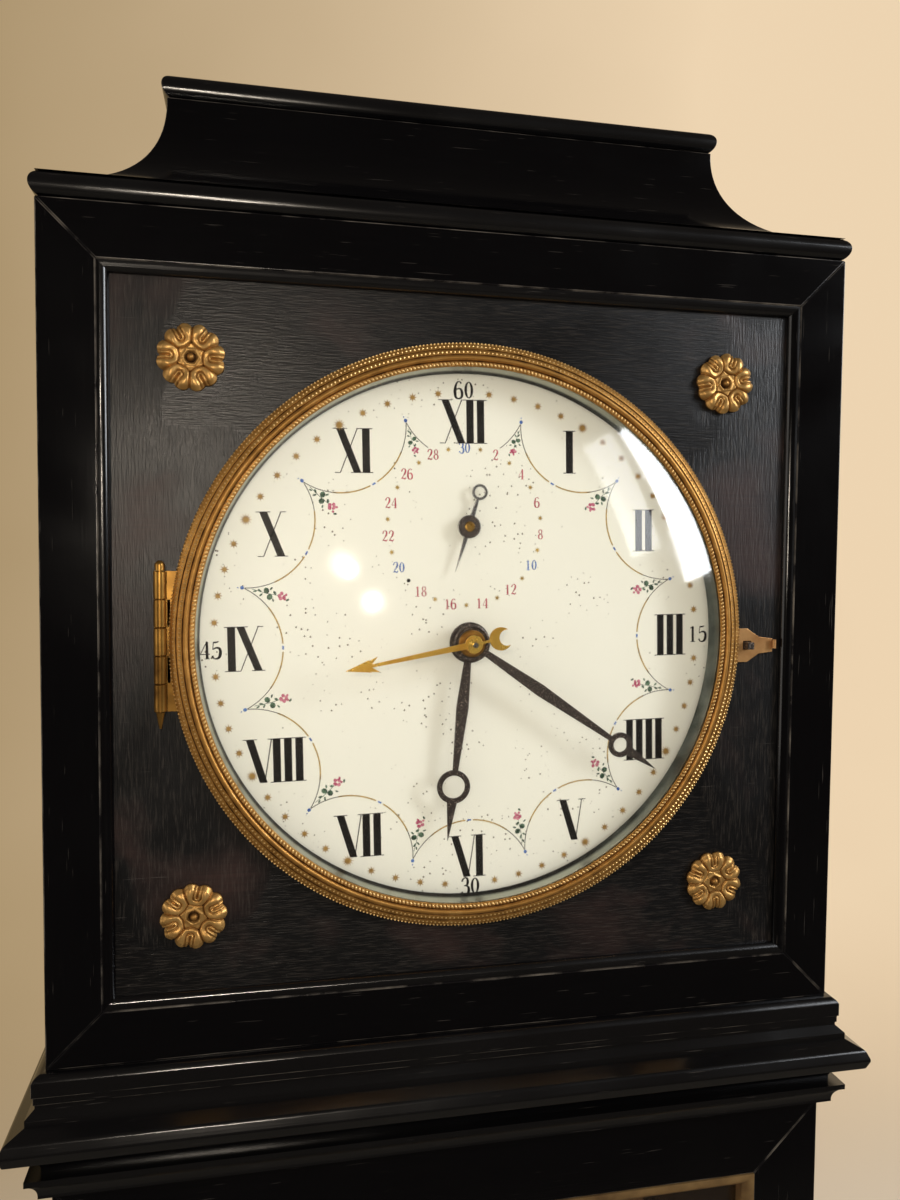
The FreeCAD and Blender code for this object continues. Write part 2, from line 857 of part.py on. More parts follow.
def bolt_places():
    return [(sign * s.bolt_offset_x, dial + rise)
            for sign in (-1, 1)
            for rise in (s.plate_top - s.bolt_offset_x / 2, s.bolt_offset_x / 2 - s.plate_bottom)]


# Trunk door

door_low = s.plinth_height + s.cap_height + s.door_gap
door_high = trunk_top - s.necking_drop - s.door_gap
door_hinge_x = -(trunk_half + s.door_knuckle_radius + s.door_rest_gap)
door_hinge_y = trunk_face + s.door_thick


def build_trunk_door():
    keep(mitred_frame("trunk_door_frame", trunk_half, door_low, door_high, s.door_member,
                      trunk_face, s.door_thick), "trunk_door_frame")
    half = trunk_half - s.door_member
    low = door_low + s.door_member
    high = door_high - s.door_member
    glass_y = trunk_face + s.door_glass_setback
    keep(box("trunk_door_glass", (-half, glass_y, low), (half, glass_y + s.door_glass_thick, high)),
         "trunk_door_glass")
    proud = trunk_face - s.trim_proud
    profile = [
        (glass_y, low),
        (glass_y, low + s.trim_width),
        (trunk_face + s.trim_proud * 2, low + s.trim_width),
        (proud, low + s.trim_width / 3, s.trim_width, 1),
        (proud, low),
    ]
    path = [(-half, low), (half, low), (half, high), (-half, high)]
    keep(run("trunk_door_trim", profile, path, "XZ_Plane", True), "trunk_door_trim")

    middle = (door_low + door_high) / 2
    x = trunk_half - s.door_member / 2
    wide = s.key_plate_width / 2
    tall = s.key_plate_height / 2
    outline = [
        (x - wide, middle - tall / 2),
        (x, middle - tall),
        (x + wide, middle - tall / 2),
        (x + wide, middle + tall / 2),
        (x, middle + tall),
        (x - wide, middle + tall / 2),
    ]
    keep(plate("trunk_door_key_plate", [outline], trunk_face - s.key_plate_thick, s.key_plate_thick,
               [(x, middle, s.keyhole_radius)]), "trunk_door_key_plate")


def build_trunk_hinges():
    """Two butt hinges on the left edge: outer knuckles on the case, the middle one on the door."""
    fixed, moving = [], []
    third = s.door_hinge_length / 3
    gap = s.hinge_knuckle_gap
    plate_low = -(trunk_half + s.door_hinge_plate)
    for spot, foot in (("lower", door_low + s.door_hinge_inset),
                       ("upper", door_high - s.door_hinge_inset - s.door_hinge_length)):
        top = foot + s.door_hinge_length
        bore = s.door_pin_radius
        outer = []
        leaf_back = door_hinge_y + s.door_hinge_leaf
        for index in (0, 2):
            low = foot + third * index
            outer.append(cylinder(f"door_knuckle_{spot}_{index}", "z", (door_hinge_x, door_hinge_y, low),
                                  s.door_knuckle_radius, third - gap))
            outer.append(box(f"door_tongue_{spot}_{index}", (plate_low, door_hinge_y, low),
                             (-trunk_half, leaf_back, low + third - gap)))
        outer.append(box(f"door_fixed_plate_{spot}",
                         (plate_low, door_hinge_y + s.door_knuckle_radius + gap, foot),
                         (-trunk_half, leaf_back, top - gap)))
        hole = cylinder(f"door_bore_{spot}", "z", (door_hinge_x, door_hinge_y, foot - third), bore, third * 5)
        leaf = fuse(f"door_fixed_leaf_{spot}_solid", outer)
        fixed.append(cut(f"door_fixed_leaf_{spot}", leaf, [hole]))
        fixed.append(cylinder(f"door_pin_{spot}", "z", (door_hinge_x, door_hinge_y, foot), bore,
                              s.door_hinge_length))
        middle = cylinder(f"door_knuckle_{spot}_1", "z", (door_hinge_x, door_hinge_y, foot + third),
                          s.door_knuckle_radius, third - gap)
        tongue = box(f"door_tongue_{spot}_1", (plate_low, door_hinge_y - s.door_hinge_leaf, foot + third),
                     (-trunk_half, door_hinge_y, foot + third * 2 - gap))
        wing = box(f"door_moving_plate_{spot}", (plate_low, door_hinge_y - s.door_hinge_leaf, foot),
                   (-trunk_half, door_hinge_y - s.door_knuckle_radius - gap, top - gap))
        loose = cylinder(f"door_loose_bore_{spot}", "z", (door_hinge_x, door_hinge_y, foot - third),
                         bore + s.hinge_running_gap, third * 5)
        leaf = fuse(f"door_moving_leaf_{spot}_solid", [middle, tongue, wing])
        moving.append(cut(f"door_moving_leaf_{spot}", leaf, [loose]))
    keep(group("trunk_hinge_fixed_leaves", fixed), "trunk_hinge_fixed_leaves")
    keep(group("trunk_hinge_moving_leaves", moving), "trunk_hinge_moving_leaves")


# Plinth

plinth_half = trunk_half + s.plinth_margin
plinth_face = front - s.plinth_step


def build_plinth():
    keep(box("plinth_bottom_board", (-trunk_half, plinth_face + s.plinth_front_thick, zero),
             (trunk_half, back, s.bottom_board_thick)), "plinth_bottom_board")
    sides = []
    for side, sign in (("left", -1), ("right", 1)):
        low_x = trunk_half if sign > 0 else -plinth_half
        sides.append(box(f"plinth_side_{side}", (low_x, plinth_face + s.plinth_front_thick, zero),
                         (low_x + s.plinth_margin, back, s.plinth_height)))
    keep(group("plinth_side_boards", sides), "plinth_side_boards")

    blank = box("plinth_front_blank", (-plinth_half, plinth_face, zero),
                (plinth_half, plinth_face + s.plinth_front_thick, s.plinth_height))
    border = s.plinth_field_border
    field = box("plinth_front_field", (border - plinth_half, plinth_face, s.base_height + border),
                (plinth_half - border, plinth_face + s.plinth_field_sink, s.plinth_height - border))
    keep(cut("plinth_front_board", blank, [field]), "plinth_front_board")

    base = [
        (zero, zero),
        (s.base_projection, zero),
        (s.base_projection, s.base_height - s.base_slope),
        (zero, s.base_height, s.base_slope + s.base_projection, 1),
    ]
    keep(wrap("plinth_base_moulding", plinth_half, plinth_face, base), "plinth_base_moulding")

    top = s.plinth_height + s.cap_height
    cap = [
        (-s.plinth_margin, s.plinth_height),
        (s.cap_edge, s.plinth_height),
        (s.cap_edge, s.plinth_height + s.cap_edge),
        (zero, s.plinth_height + s.cap_edge),
        (s.cap_edge - s.plinth_margin, top, s.cap_height, 1),
        (-s.plinth_margin, top),
    ]
    keep(wrap("plinth_cap_moulding", plinth_half, plinth_face, cap), "plinth_cap_moulding")


# Movement: where each arbor stands, as (x, z)

plate_front = front + s.plate_setback
plate_back = plate_front + s.plate_thick
rear_plate = plate_back + s.plate_gap
centre = (zero, dial)


def polar(origin, distance, angle):
    return origin[0] + distance * math.cos(angle), origin[1] + distance * math.sin(angle)


def apex(first, second, near, far, side):
    """The point at set distances from two others, on the left (-1) or right (1) of the line upwards."""
    run_x = second[0] - first[0]
    run_z = second[1] - first[1]
    span = root(run_x * run_x + run_z * run_z)
    along = (near * near - far * far + span * span) / (2 * span)
    off = root(near * near - along * along) * side
    x = first[0] + (run_x * along + run_z * off) / span
    z = first[1] + (run_z * along - run_x * off) / span
    return x, z


third_spot = polar(centre, s.escape_distance, THIRD_ANGLE)
hour_arbor_spot = polar(third_spot, s.third_distance, HOUR_ARBOR_ANGLE)
great_spot = (hour_arbor_spot[0], hour_arbor_spot[1] - s.great_distance)
idler_spot = apex(hour_arbor_spot, centre, s.motion_distance, s.motion_distance, -1)
date_spot = (zero, dial + s.date_rise)
date_idler_spot = apex(centre, date_spot, s.date_first_distance, s.date_second_distance, 1)
anchor_spot = (zero, dial + s.anchor_rise)

cannon_radius = s.seconds_arbor_radius + s.running_gap + s.pipe_wall
hour_pipe_radius = cannon_radius + s.running_gap + s.pipe_wall

# Planes of the wheels: their front faces
motion_plane = plate_front - s.wheel_thick - s.pinion_length / 2
hour_plane = motion_plane - s.wheel_thick - s.pinion_length / 2
date_idler_plane = hour_plane - s.wheel_thick - s.pinion_length / 3
date_plane = date_idler_plane - s.wheel_thick - s.pinion_length / 3
hour_train_plane = plate_back + s.pinion_length / 2
third_plane = hour_train_plane + s.wheel_thick + s.pinion_length / 2
escape_plane = rear_plate - s.wheel_thick - s.pinion_length / 3
great_plane = escape_plane - s.wheel_thick - s.pinion_length / 2
sheave_plane = great_plane - s.sheave_width
line_y = sheave_plane + s.sheave_width / 2


def build_plates():
    def hole(name, spot, radius, y):
        return cylinder(name, "y", (spot[0], y, spot[1]), radius + s.running_gap, s.plate_thick)

    half = s.plate_width / 2
    spots = {"third": third_spot, "great": great_spot, "anchor": anchor_spot, "hour_arbor": hour_arbor_spot}
    for name, y in (("movement_front_plate", plate_front), ("movement_back_plate", rear_plate)):
        blank = box(name + "_blank", (-half, y, dial - s.plate_bottom),
                    (half, y + s.plate_thick, dial + s.plate_top))
        holes = [hole(f"{name}_{arbor}_hole", spot, s.arbor_radius, y) for arbor, spot in spots.items()]
        holes.append(hole(f"{name}_escape_hole", centre, s.seconds_arbor_radius, y))
        drilled = cut(name + "_drilled", blank, holes)
        if y is rear_plate:
            keep(drilled, name)
            continue
        studs = [drilled]
        for stud, spot, end in (("idler", idler_spot, hour_plane - s.pinion_length / 2),
                                ("date_idler", date_idler_spot, date_plane - s.pinion_length / 3)):
            studs.append(cylinder(f"{stud}_stud", "y", (spot[0], end, spot[1]),
                                  s.stud_radius, plate_front - end))
        keep(fuse(name, studs), name)

    pillars = []
    for index, (sign, z) in enumerate((sign, z) for sign in (-1, 1)
                                      for z in (dial + s.plate_top - s.pillar_inset,
                                                dial - s.plate_bottom + s.pillar_inset)):
        x = sign * (half - s.pillar_inset)
        length = s.plate_gap
        waist = s.pillar_radius * 0.6
        outline = [
            (zero, zero),
            (s.pillar_radius, zero),
            (s.pillar_radius, length / 8),
            (waist, length / 5),
            (s.pillar_radius, length / 2),
            (waist, length * 4 / 5),
            (s.pillar_radius, length * 7 / 8),
            (s.pillar_radius, length),
            (zero, length),
        ]
        pillars.append(turned(f"plate_pillar_{index}", outline, "y", x, plate_back, z))
    keep(group("plate_pillars", pillars), "plate_pillars")


def build_bracket():
    """A cast bracket on the backboard: four arms hold the movement and one carries the pendulum."""
    half = s.plate_width / 2
    low = dial - s.plate_bottom
    high = dial + s.plate_top
    arm_front = rear_plate + s.plate_thick
    pieces = [box("bracket_base", (-half, board_front - s.bracket_thick, low), (half, board_front, high))]
    for side, sign in (("left", -1), ("right", 1)):
        x = half - s.bracket_arm if sign > 0 else -half
        for level, z in (("low", low), ("high", high - s.bracket_arm_height)):
            pieces.append(box(f"bracket_arm_{side}_{level}", (x, arm_front, z),
                              (x + s.bracket_arm, board_front, z + s.bracket_arm_height)))
    spring_top = anchor_spot[1] + s.spring_length / 2
    pieces.append(box("bracket_suspension_arm",
                      (-s.bracket_arm, front + s.pendulum_setback - s.bracket_arm, spring_top),
                      (s.bracket_arm, board_front, spring_top + s.bracket_arm_height)))
    bolt_holes = [cylinder(f"bracket_bolt_hole_{index}", "y", (x, board_front - s.bracket_thick, z),
                           s.bolt_radius, s.bracket_thick)
                  for index, (x, z) in enumerate(bolt_places())]
    keep(cut("movement_bracket", fuse("bracket_casting", pieces), bolt_holes), "movement_bracket")

    bolts = []
    for index, (x, z) in enumerate(bolt_places()):
        head_y = board_front - s.bracket_thick - s.bolt_head_height
        head = cylinder(f"bracket_bolt_head_{index}", "y", (x, head_y, z),
                        s.bolt_head_radius, s.bolt_head_height)
        shank = cylinder(f"bracket_bolt_shank_{index}", "y", (x, head_y, z), s.bolt_radius,
                         s.bolt_head_height + s.bracket_thick + s.backboard_thick)
        bolts.append(fuse(f"bracket_bolt_{index}", [head, shank]))
    keep(group("bracket_bolts", bolts), "bracket_bolts")


def build_dial():
    face = front + s.dial_setback
    disc = plate("dial_disc", [], face, s.dial_thick, [
        (zero, dial, s.dial_radius),
        (zero, dial, hour_pipe_radius + s.pipe_wall / 4),
        (zero, date_spot[1], s.date_arbor_radius + s.running_gap),
    ])
    behind = face + s.dial_thick
    pieces = [disc]
    for side in (-1, 1):
        for rise in (s.dial_foot_top, -s.dial_foot_bottom):
            pieces.append(cylinder(f"dial_foot_{len(pieces)}", "y",
                                   (side * s.dial_foot_x, behind, dial + rise),
                                   s.dial_foot_radius, plate_front - behind))
    bush = cylinder("dial_date_bush", "y", (zero, behind, date_spot[1]),
                    s.date_arbor_radius * 2, date_plane - behind)
    bore = cylinder("dial_date_bore", "y", (zero, behind, date_spot[1]),
                    s.date_arbor_radius + s.running_gap, date_plane - behind)
    pieces.append(cut("dial_date_sleeve", bush, [bore]))
    keep(fuse("dial", pieces), "dial")


# Toothed wheels. Each is drawn about its own axis, seen from the front, with clock hands turning clockwise.

PRESSURE_ANGLE = math.radians(25)
ADDENDUM = 0.8
DEDENDUM = 1.15
TOOTH_SHARE = 0.40
FLANK_STEPS = 4


def involute(angle):
    return math.tan(angle) - angle


def tooth_flank(teeth, module):
    """Half angles of a tooth at radii from its root to its tip."""
    pitch = teeth * module / 2
    base = pitch * math.cos(PRESSURE_ANGLE)
    half_pitch_angle = math.pi * TOOTH_SHARE / teeth
    tip = pitch + ADDENDUM * module
    foot = pitch - DEDENDUM * module
    start = max(base, foot)
    flank = [(foot, half_pitch_angle + involute(PRESSURE_ANGLE))] if base > foot else []
    for step in range(FLANK_STEPS + 1):
        radius = start + (tip - start) * step / FLANK_STEPS
        swing = involute(math.acos(min(1, base / radius)))
        flank.append((radius, half_pitch_angle + involute(PRESSURE_ANGLE) - swing))
    return flank


def toothed_face(teeth, module, phase):
    """A flat wheel blank in the XZ plane with one tooth centred on the phase angle."""
    flank = tooth_flank(teeth, module)
    points = []
    for index in range(teeth):
        middle = phase + 2 * math.pi * index / teeth
        sides = [(radius, middle - half) for radius, half in flank]
        sides += [(radius, middle + half) for radius, half in reversed(flank)]
        points += [FreeCAD.Vector(r * math.cos(a), 0, r * math.sin(a)) for r, a in sides]
    return Part.Face(Part.makePolygon(points + points[:1]))


def toothed(teeth, module, phase, y, thick):
    face = toothed_face(teeth, module, phase)
    return face.extrude(FreeCAD.Vector(0, thick, 0)).translated(FreeCAD.Vector(0, y, 0))


def round_bar(radius, y, length):
    return Part.makeCylinder(radius, length, FreeCAD.Vector(0, y, 0), FreeCAD.Vector(0, 1, 0))


def windows(hub, rim, y, thick, spokes, spoke_width):
    """The openings between the spokes of a crossed-out wheel."""
    ring = round_bar(rim, y, thick).cut(round_bar(hub, y, thick))
    for index in range(spokes):
        bar = Part.makeBox(rim * 1.1, thick, spoke_width, FreeCAD.Vector(0, y, -spoke_width / 2))
        bar.rotate(FreeCAD.Vector(), FreeCAD.Vector(0, 1, 0), 360 * index / spokes)
        ring = ring.cut(bar)
    return ring


def crossed_wheel(teeth, module, phase, y, thick, hub):
    blank = toothed(teeth, module, phase, y, thick)
    rim = teeth * module / 2 - 3.2 * module
    return blank.cut(windows(hub, rim, y, thick, SPOKES, thick))


def direction(start, end):
    return math.atan2(end[1].value - start[1].value, end[0].value - start[0].value)


def tooth_at(teeth, phase, angle):
    """How far, in tooth pitches, a direction lies past a tooth's middle."""
    return ((angle - phase) * teeth / (2 * math.pi)) % 1


def mating_phase(teeth, phase, angle, mate_teeth):
    """The phase of the wheel that meshes in this direction."""
    share = 0.5 - tooth_at(teeth, phase, angle)
    return angle + math.pi - share * 2 * math.pi / mate_teeth


def pair_module(distance, first, second):
    return 2 * distance.value / (first + second)


def train_piece(node, spot, solids):
    """One wheel with its arbor, put on its axis."""
    shape = solids[0].multiFuse(solids[1:]).removeSplitter() if len(solids) > 1 else solids[0]
    piece = doc.addObject("Part::Feature", node)
    piece.Shape = shape
    place(piece, spot[0], zero, spot[1])
    return keep(piece, node)


def bored(shape, radius, y, length):
    return shape.cut(round_bar(radius, y, length))


def build_going_train():
    arbor = s.arbor_radius.value
    thick = s.wheel_thick.value
    pinion = s.pinion_length.value
    front_end = plate_front.value
    rear_end = (rear_plate + s.plate_thick).value
    lap = pinion - thick

    great_module = pair_module(s.great_distance, GREAT_TEETH, HOUR_PINION)
    great_to_hour = direction(great_spot, hour_arbor_spot)
    great_y = great_plane.value
    wide = s.sheave_width.value
    sheave = s.sheave_radius.value - s.line_radius.value - s.line_sheave_gap.value
    flange = s.sheave_radius.value + s.line_radius.value
    wall = wide / 2 - s.line_radius.value - s.line_sheave_gap.value
    sheave_y = sheave_plane.value
    train_piece("great_wheel", great_spot, [
        crossed_wheel(GREAT_TEETH, great_module, great_to_hour, great_y, thick, arbor * 4),
        round_bar(sheave, sheave_y, wide),
        round_bar(flange, sheave_y, wall),
        round_bar(flange, sheave_y + wide - wall, wall),
        round_bar(arbor, front_end, rear_end - front_end),
    ])

    hour_module = pair_module(s.third_distance, HOUR_TEETH, THIRD_PINION)
    motion_module = pair_module(s.motion_distance, MOTION_TEETH, MOTION_TEETH)
    hour_to_third = direction(hour_arbor_spot, third_spot)
    hour_to_idler = direction(hour_arbor_spot, idler_spot)
    pinion_phase = mating_phase(GREAT_TEETH, great_to_hour, great_to_hour, HOUR_PINION)
    motion_y = motion_plane.value
    train_piece("hour_arbor", hour_arbor_spot, [
        crossed_wheel(HOUR_TEETH, hour_module, hour_to_third, hour_train_plane.value, thick, arbor * 3),
        toothed(HOUR_PINION, great_module, pinion_phase, great_y - lap / 2, pinion),
        crossed_wheel(MOTION_TEETH, motion_module, hour_to_idler, motion_y, thick, arbor * 3),
        round_bar(arbor, motion_y, rear_end - motion_y),
    ])

    third_module = pair_module(s.escape_distance, THIRD_TEETH, ESCAPE_PINION)
    third_to_escape = direction(third_spot, centre)
    pinion_phase = mating_phase(HOUR_TEETH, hour_to_third, hour_to_third, THIRD_PINION)
    train_piece("third_wheel", third_spot, [
        crossed_wheel(THIRD_TEETH, third_module, third_to_escape, third_plane.value, thick, arbor * 2),
        toothed(THIRD_PINION, hour_module, pinion_phase, hour_train_plane.value - lap / 2, pinion),
        round_bar(arbor, front_end, rear_end - front_end),
    ])

    pinion_phase = mating_phase(THIRD_TEETH, third_to_escape, third_to_escape, ESCAPE_PINION)
    seconds = s.seconds_arbor_radius.value
    arbor_end = (front + s.seconds_arbor_end).value
    train_piece("escape_wheel", centre, [
        escape_teeth(escape_plane.value, thick),
        toothed(ESCAPE_PINION, third_module, pinion_phase, third_plane.value - lap / 2, pinion),
        round_bar(seconds, arbor_end, rear_end - arbor_end),
    ])


escape_radius = s.escape_distance - s.arbor_radius - s.pinion_length / 2


def escape_teeth(y, thick):
    """Pointed teeth that lean forward on a crossed-out rim."""
    tip = escape_radius.value
    valley = tip * 0.84
    step = 2 * math.pi / ESCAPE_TEETH
    points = []
    for index in range(ESCAPE_TEETH):
        start = -step * index
        for radius, share in ((tip, -0.06), (tip, 0.0), (valley, 0.25), (valley, 0.88)):
            angle = start - share * step
            points.append(FreeCAD.Vector(radius * math.cos(angle), 0, radius * math.sin(angle)))
    blank = Part.Face(Part.makePolygon(points + points[:1])).extrude(FreeCAD.Vector(0, thick, 0))
    blank.translate(FreeCAD.Vector(0, y, 0))
    hub = s.seconds_arbor_radius.value * 3
    return blank.cut(windows(hub, tip * 0.7, y, thick, SPOKES, thick))


def build_motion_work():
    thick = s.wheel_thick.value
    motion_module = pair_module(s.motion_distance, MOTION_TEETH, MOTION_TEETH)
    hands_module = pair_module(s.motion_distance, MOTION_PINION, HOUR_HAND_TEETH)
    first_module = pair_module(s.date_first_distance, DATE_FIRST_PINION, DATE_FIRST_TEETH)
    second_module = pair_module(s.date_second_distance, DATE_SECOND_PINION, DATE_TEETH)
    seconds_bore = (s.seconds_arbor_radius + s.running_gap).value
    cannon = cannon_radius.value
    cannon_bore = cannon + s.running_gap.value
    hour_pipe = hour_pipe_radius.value
    stud_bore = (s.stud_radius + s.running_gap).value
    motion_y = motion_plane.value
    hour_y = hour_plane.value
    idler_y = date_idler_plane.value
    date_y = date_plane.value

    hour_to_idler = direction(hour_arbor_spot, idler_spot)
    idler_phase = mating_phase(MOTION_TEETH, hour_to_idler, hour_to_idler, MOTION_TEETH)
    idler_to_centre = direction(idler_spot, centre)
    cannon_phase = mating_phase(MOTION_TEETH, idler_phase, idler_to_centre, MOTION_TEETH)
    cannon_end = (front + s.minute_hand_setback - s.hand_thick).value
    pipe_length = motion_y + thick - cannon_end
    pipe = bored(round_bar(cannon, cannon_end, pipe_length), seconds_bore, cannon_end, pipe_length)
    wheel = bored(crossed_wheel(MOTION_TEETH, motion_module, cannon_phase, motion_y, thick, cannon * 2),
                  seconds_bore, motion_y, thick)
    train_piece("cannon_wheel", centre, [wheel, pipe])

    pinion_y = hour_y - s.pinion_length.value / 4
    pinion = toothed(MOTION_PINION, hands_module, idler_to_centre, pinion_y, motion_y - pinion_y)
    idler = crossed_wheel(MOTION_TEETH, motion_module, idler_phase, motion_y, thick, cannon * 1.5)
    train_piece("minute_idler", idler_spot, [
        bored(idler, stud_bore, motion_y, thick),
        bored(pinion, stud_bore, pinion_y, motion_y - pinion_y),
    ])

    hour_phase = mating_phase(MOTION_PINION, idler_to_centre, idler_to_centre, HOUR_HAND_TEETH)
    hour_end = (front + s.hour_hand_setback - s.hand_thick / 2).value
    pipe_length = hour_y + thick - hour_end
    pipe = bored(round_bar(hour_pipe, hour_end, pipe_length), cannon_bore, hour_end, pipe_length)
    wheel = bored(crossed_wheel(HOUR_HAND_TEETH, hands_module, hour_phase, hour_y, thick, hour_pipe * 2),
                  cannon_bore, hour_y, thick)
    to_date = direction(centre, date_idler_spot)
    lead = bored(toothed(DATE_FIRST_PINION, first_module, to_date, idler_y - thick / 2, thick * 2),
                 cannon_bore, idler_y - thick / 2, thick * 2)
    train_piece("hour_wheel", centre, [wheel, pipe, lead])

    idler_phase = mating_phase(DATE_FIRST_PINION, to_date, to_date, DATE_FIRST_TEETH)
    idler_to_date = direction(date_idler_spot, date_spot)
    pinion_y = date_y - s.pinion_length.value / 4
    wheel = crossed_wheel(DATE_FIRST_TEETH, first_module, idler_phase, idler_y, thick, hour_pipe * 1.5)
    pinion = toothed(DATE_SECOND_PINION, second_module, idler_to_date, pinion_y, idler_y - pinion_y)
    train_piece("date_idler", date_idler_spot, [
        bored(wheel, stud_bore, idler_y, thick),
        bored(pinion, stud_bore, pinion_y, idler_y - pinion_y),
    ])

    date_phase = mating_phase(DATE_SECOND_PINION, idler_to_date, idler_to_date, DATE_TEETH)
    arbor = s.date_arbor_radius.value
    arbor_end = (front + s.date_hand_setback - s.hand_thick).value
    train_piece("date_wheel", date_spot, [
        crossed_wheel(DATE_TEETH, second_module, date_phase, date_y, thick, arbor * 3),
        round_bar(arbor, arbor_end, date_y + thick - arbor_end),
    ])


# Hands, drawn pointing to twelve and then turned to the time shown

def turn_hand(hand, node, spot, y, clock_angle):
    hand.Placement = FreeCAD.Placement(
        FreeCAD.Vector(), FreeCAD.Rotation(FreeCAD.Vector(0, 1, 0), clock_angle))
    place(hand, spot[0], y, spot[1])
    keep(hand, node)


def ring_hand(name, length, ring_offset, ring, hub, bore):
    """A bar that swells and tapers to a ring, with a pointed tip beyond the ring."""
    inner = ring - s.hand_ring_width
    tip_width = s.hand_bar_width * 0.9
    narrow = s.hand_bar_width / 2.5
    bar = plate(name + "_bar", [[
        (-narrow / 2, zero),
        (narrow / 2, zero),
        (s.hand_bar_width / 2, ring_offset * 0.45),
        (narrow / 2, ring_offset - inner),
        (-narrow / 2, ring_offset - inner),
        (-s.hand_bar_width / 2, ring_offset * 0.45),
    ]], zero, s.hand_thick)
    loop = plate(name + "_ring", [], zero, s.hand_thick, [(zero, ring_offset, ring)])
    boss = plate(name + "_hub", [], zero, s.hand_thick, [(zero, zero, hub)])
    point = plate(name + "_tip", [[
        (-tip_width / 2, ring_offset + inner),
        (tip_width / 2, ring_offset + inner),
        (zero, length),
    ]], zero, s.hand_thick)
    eye = cylinder(name + "_eye", "y", (zero, zero, ring_offset), inner, s.hand_thick)
    hole = cylinder(name + "_hole", "y", (zero, zero, zero), bore, s.hand_thick)
    return cut(name, fuse(name + "_solid", [bar, loop, boss, point]), [eye, hole])


def build_hands():
    hand = ring_hand("hour_hand", s.hour_hand_length, s.hour_ring_offset, s.hour_ring_radius,
                     s.hour_hub_radius, hour_pipe_radius)
    turn_hand(hand, "hour_hand", centre, front + s.hour_hand_setback, HOUR_HAND_CLOCK_ANGLE)
    hand = ring_hand("minute_hand", s.minute_hand_length, s.minute_ring_offset, s.minute_ring_radius,
                     s.minute_hub_radius, cannon_radius)
    turn_hand(hand, "minute_hand", centre, front + s.minute_hand_setback, MINUTE_HAND_CLOCK_ANGLE)

    slim = s.hand_bar_width / 5
    barb = s.hand_bar_width / 2
    needle = plate("seconds_needle", [[
        (-slim / 2, -s.seconds_tail / 2),
        (slim / 2, -s.seconds_tail / 2),
        (slim / 2, s.seconds_hand_length - barb * 3),
        (barb, s.seconds_hand_length - barb * 4),
        (zero, s.seconds_hand_length),
        (-barb, s.seconds_hand_length - barb * 4),
        (-slim / 2, s.seconds_hand_length - barb * 3),
    ]], zero, s.hand_thick)
    boss = plate("seconds_boss", [], zero, s.hand_thick, [(zero, zero, s.seconds_hub_radius)])
    moon_radius = s.seconds_tail / 3.4
    moon = plate("seconds_moon", [], zero, s.hand_thick, [(zero, moon_radius - s.seconds_tail, moon_radius)])
    bite = cylinder("seconds_moon_bite", "y", (zero, zero, moon_radius * 0.45 - s.seconds_tail),
                    moon_radius * 0.7, s.hand_thick)
    hole = cylinder("seconds_hole", "y", (zero, zero, zero), s.seconds_arbor_radius, s.hand_thick)
    hand = cut("seconds_hand", fuse("seconds_solid", [needle, boss, moon]), [bite, hole])
    turn_hand(hand, "seconds_hand", centre, front + s.seconds_hand_setback, SECONDS_HAND_CLOCK_ANGLE)

    ring = s.date_ring_radius
    ring_inner = ring - s.hand_ring_width / 2
    needle = plate("date_needle", [[
        (-slim / 2, ring_inner - s.date_ring_offset),
        (slim / 2, ring_inner - s.date_ring_offset),
        (slim * 1.2, zero),
        (zero, s.date_hand_length),
        (-slim * 1.2, zero),
    ]], zero, s.hand_thick)
    boss = plate("date_boss", [], zero, s.hand_thick, [(zero, zero, s.date_hub_radius)])
    loop = plate("date_ring", [], zero, s.hand_thick, [(zero, -s.date_ring_offset, ring)])
    eye = cylinder("date_eye", "y", (zero, zero, -s.date_ring_offset), ring_inner, s.hand_thick)
    hole = cylinder("date_hole", "y", (zero, zero, zero), s.date_arbor_radius, s.hand_thick)
    hand = cut("date_hand", fuse("date_solid", [needle, boss, loop]), [eye, hole])
    turn_hand(hand, "date_hand", date_spot, front + s.date_hand_setback, DATE_HAND_CLOCK_ANGLE)


# Anchor, pendulum and weights

pendulum_y = front + s.pendulum_setback


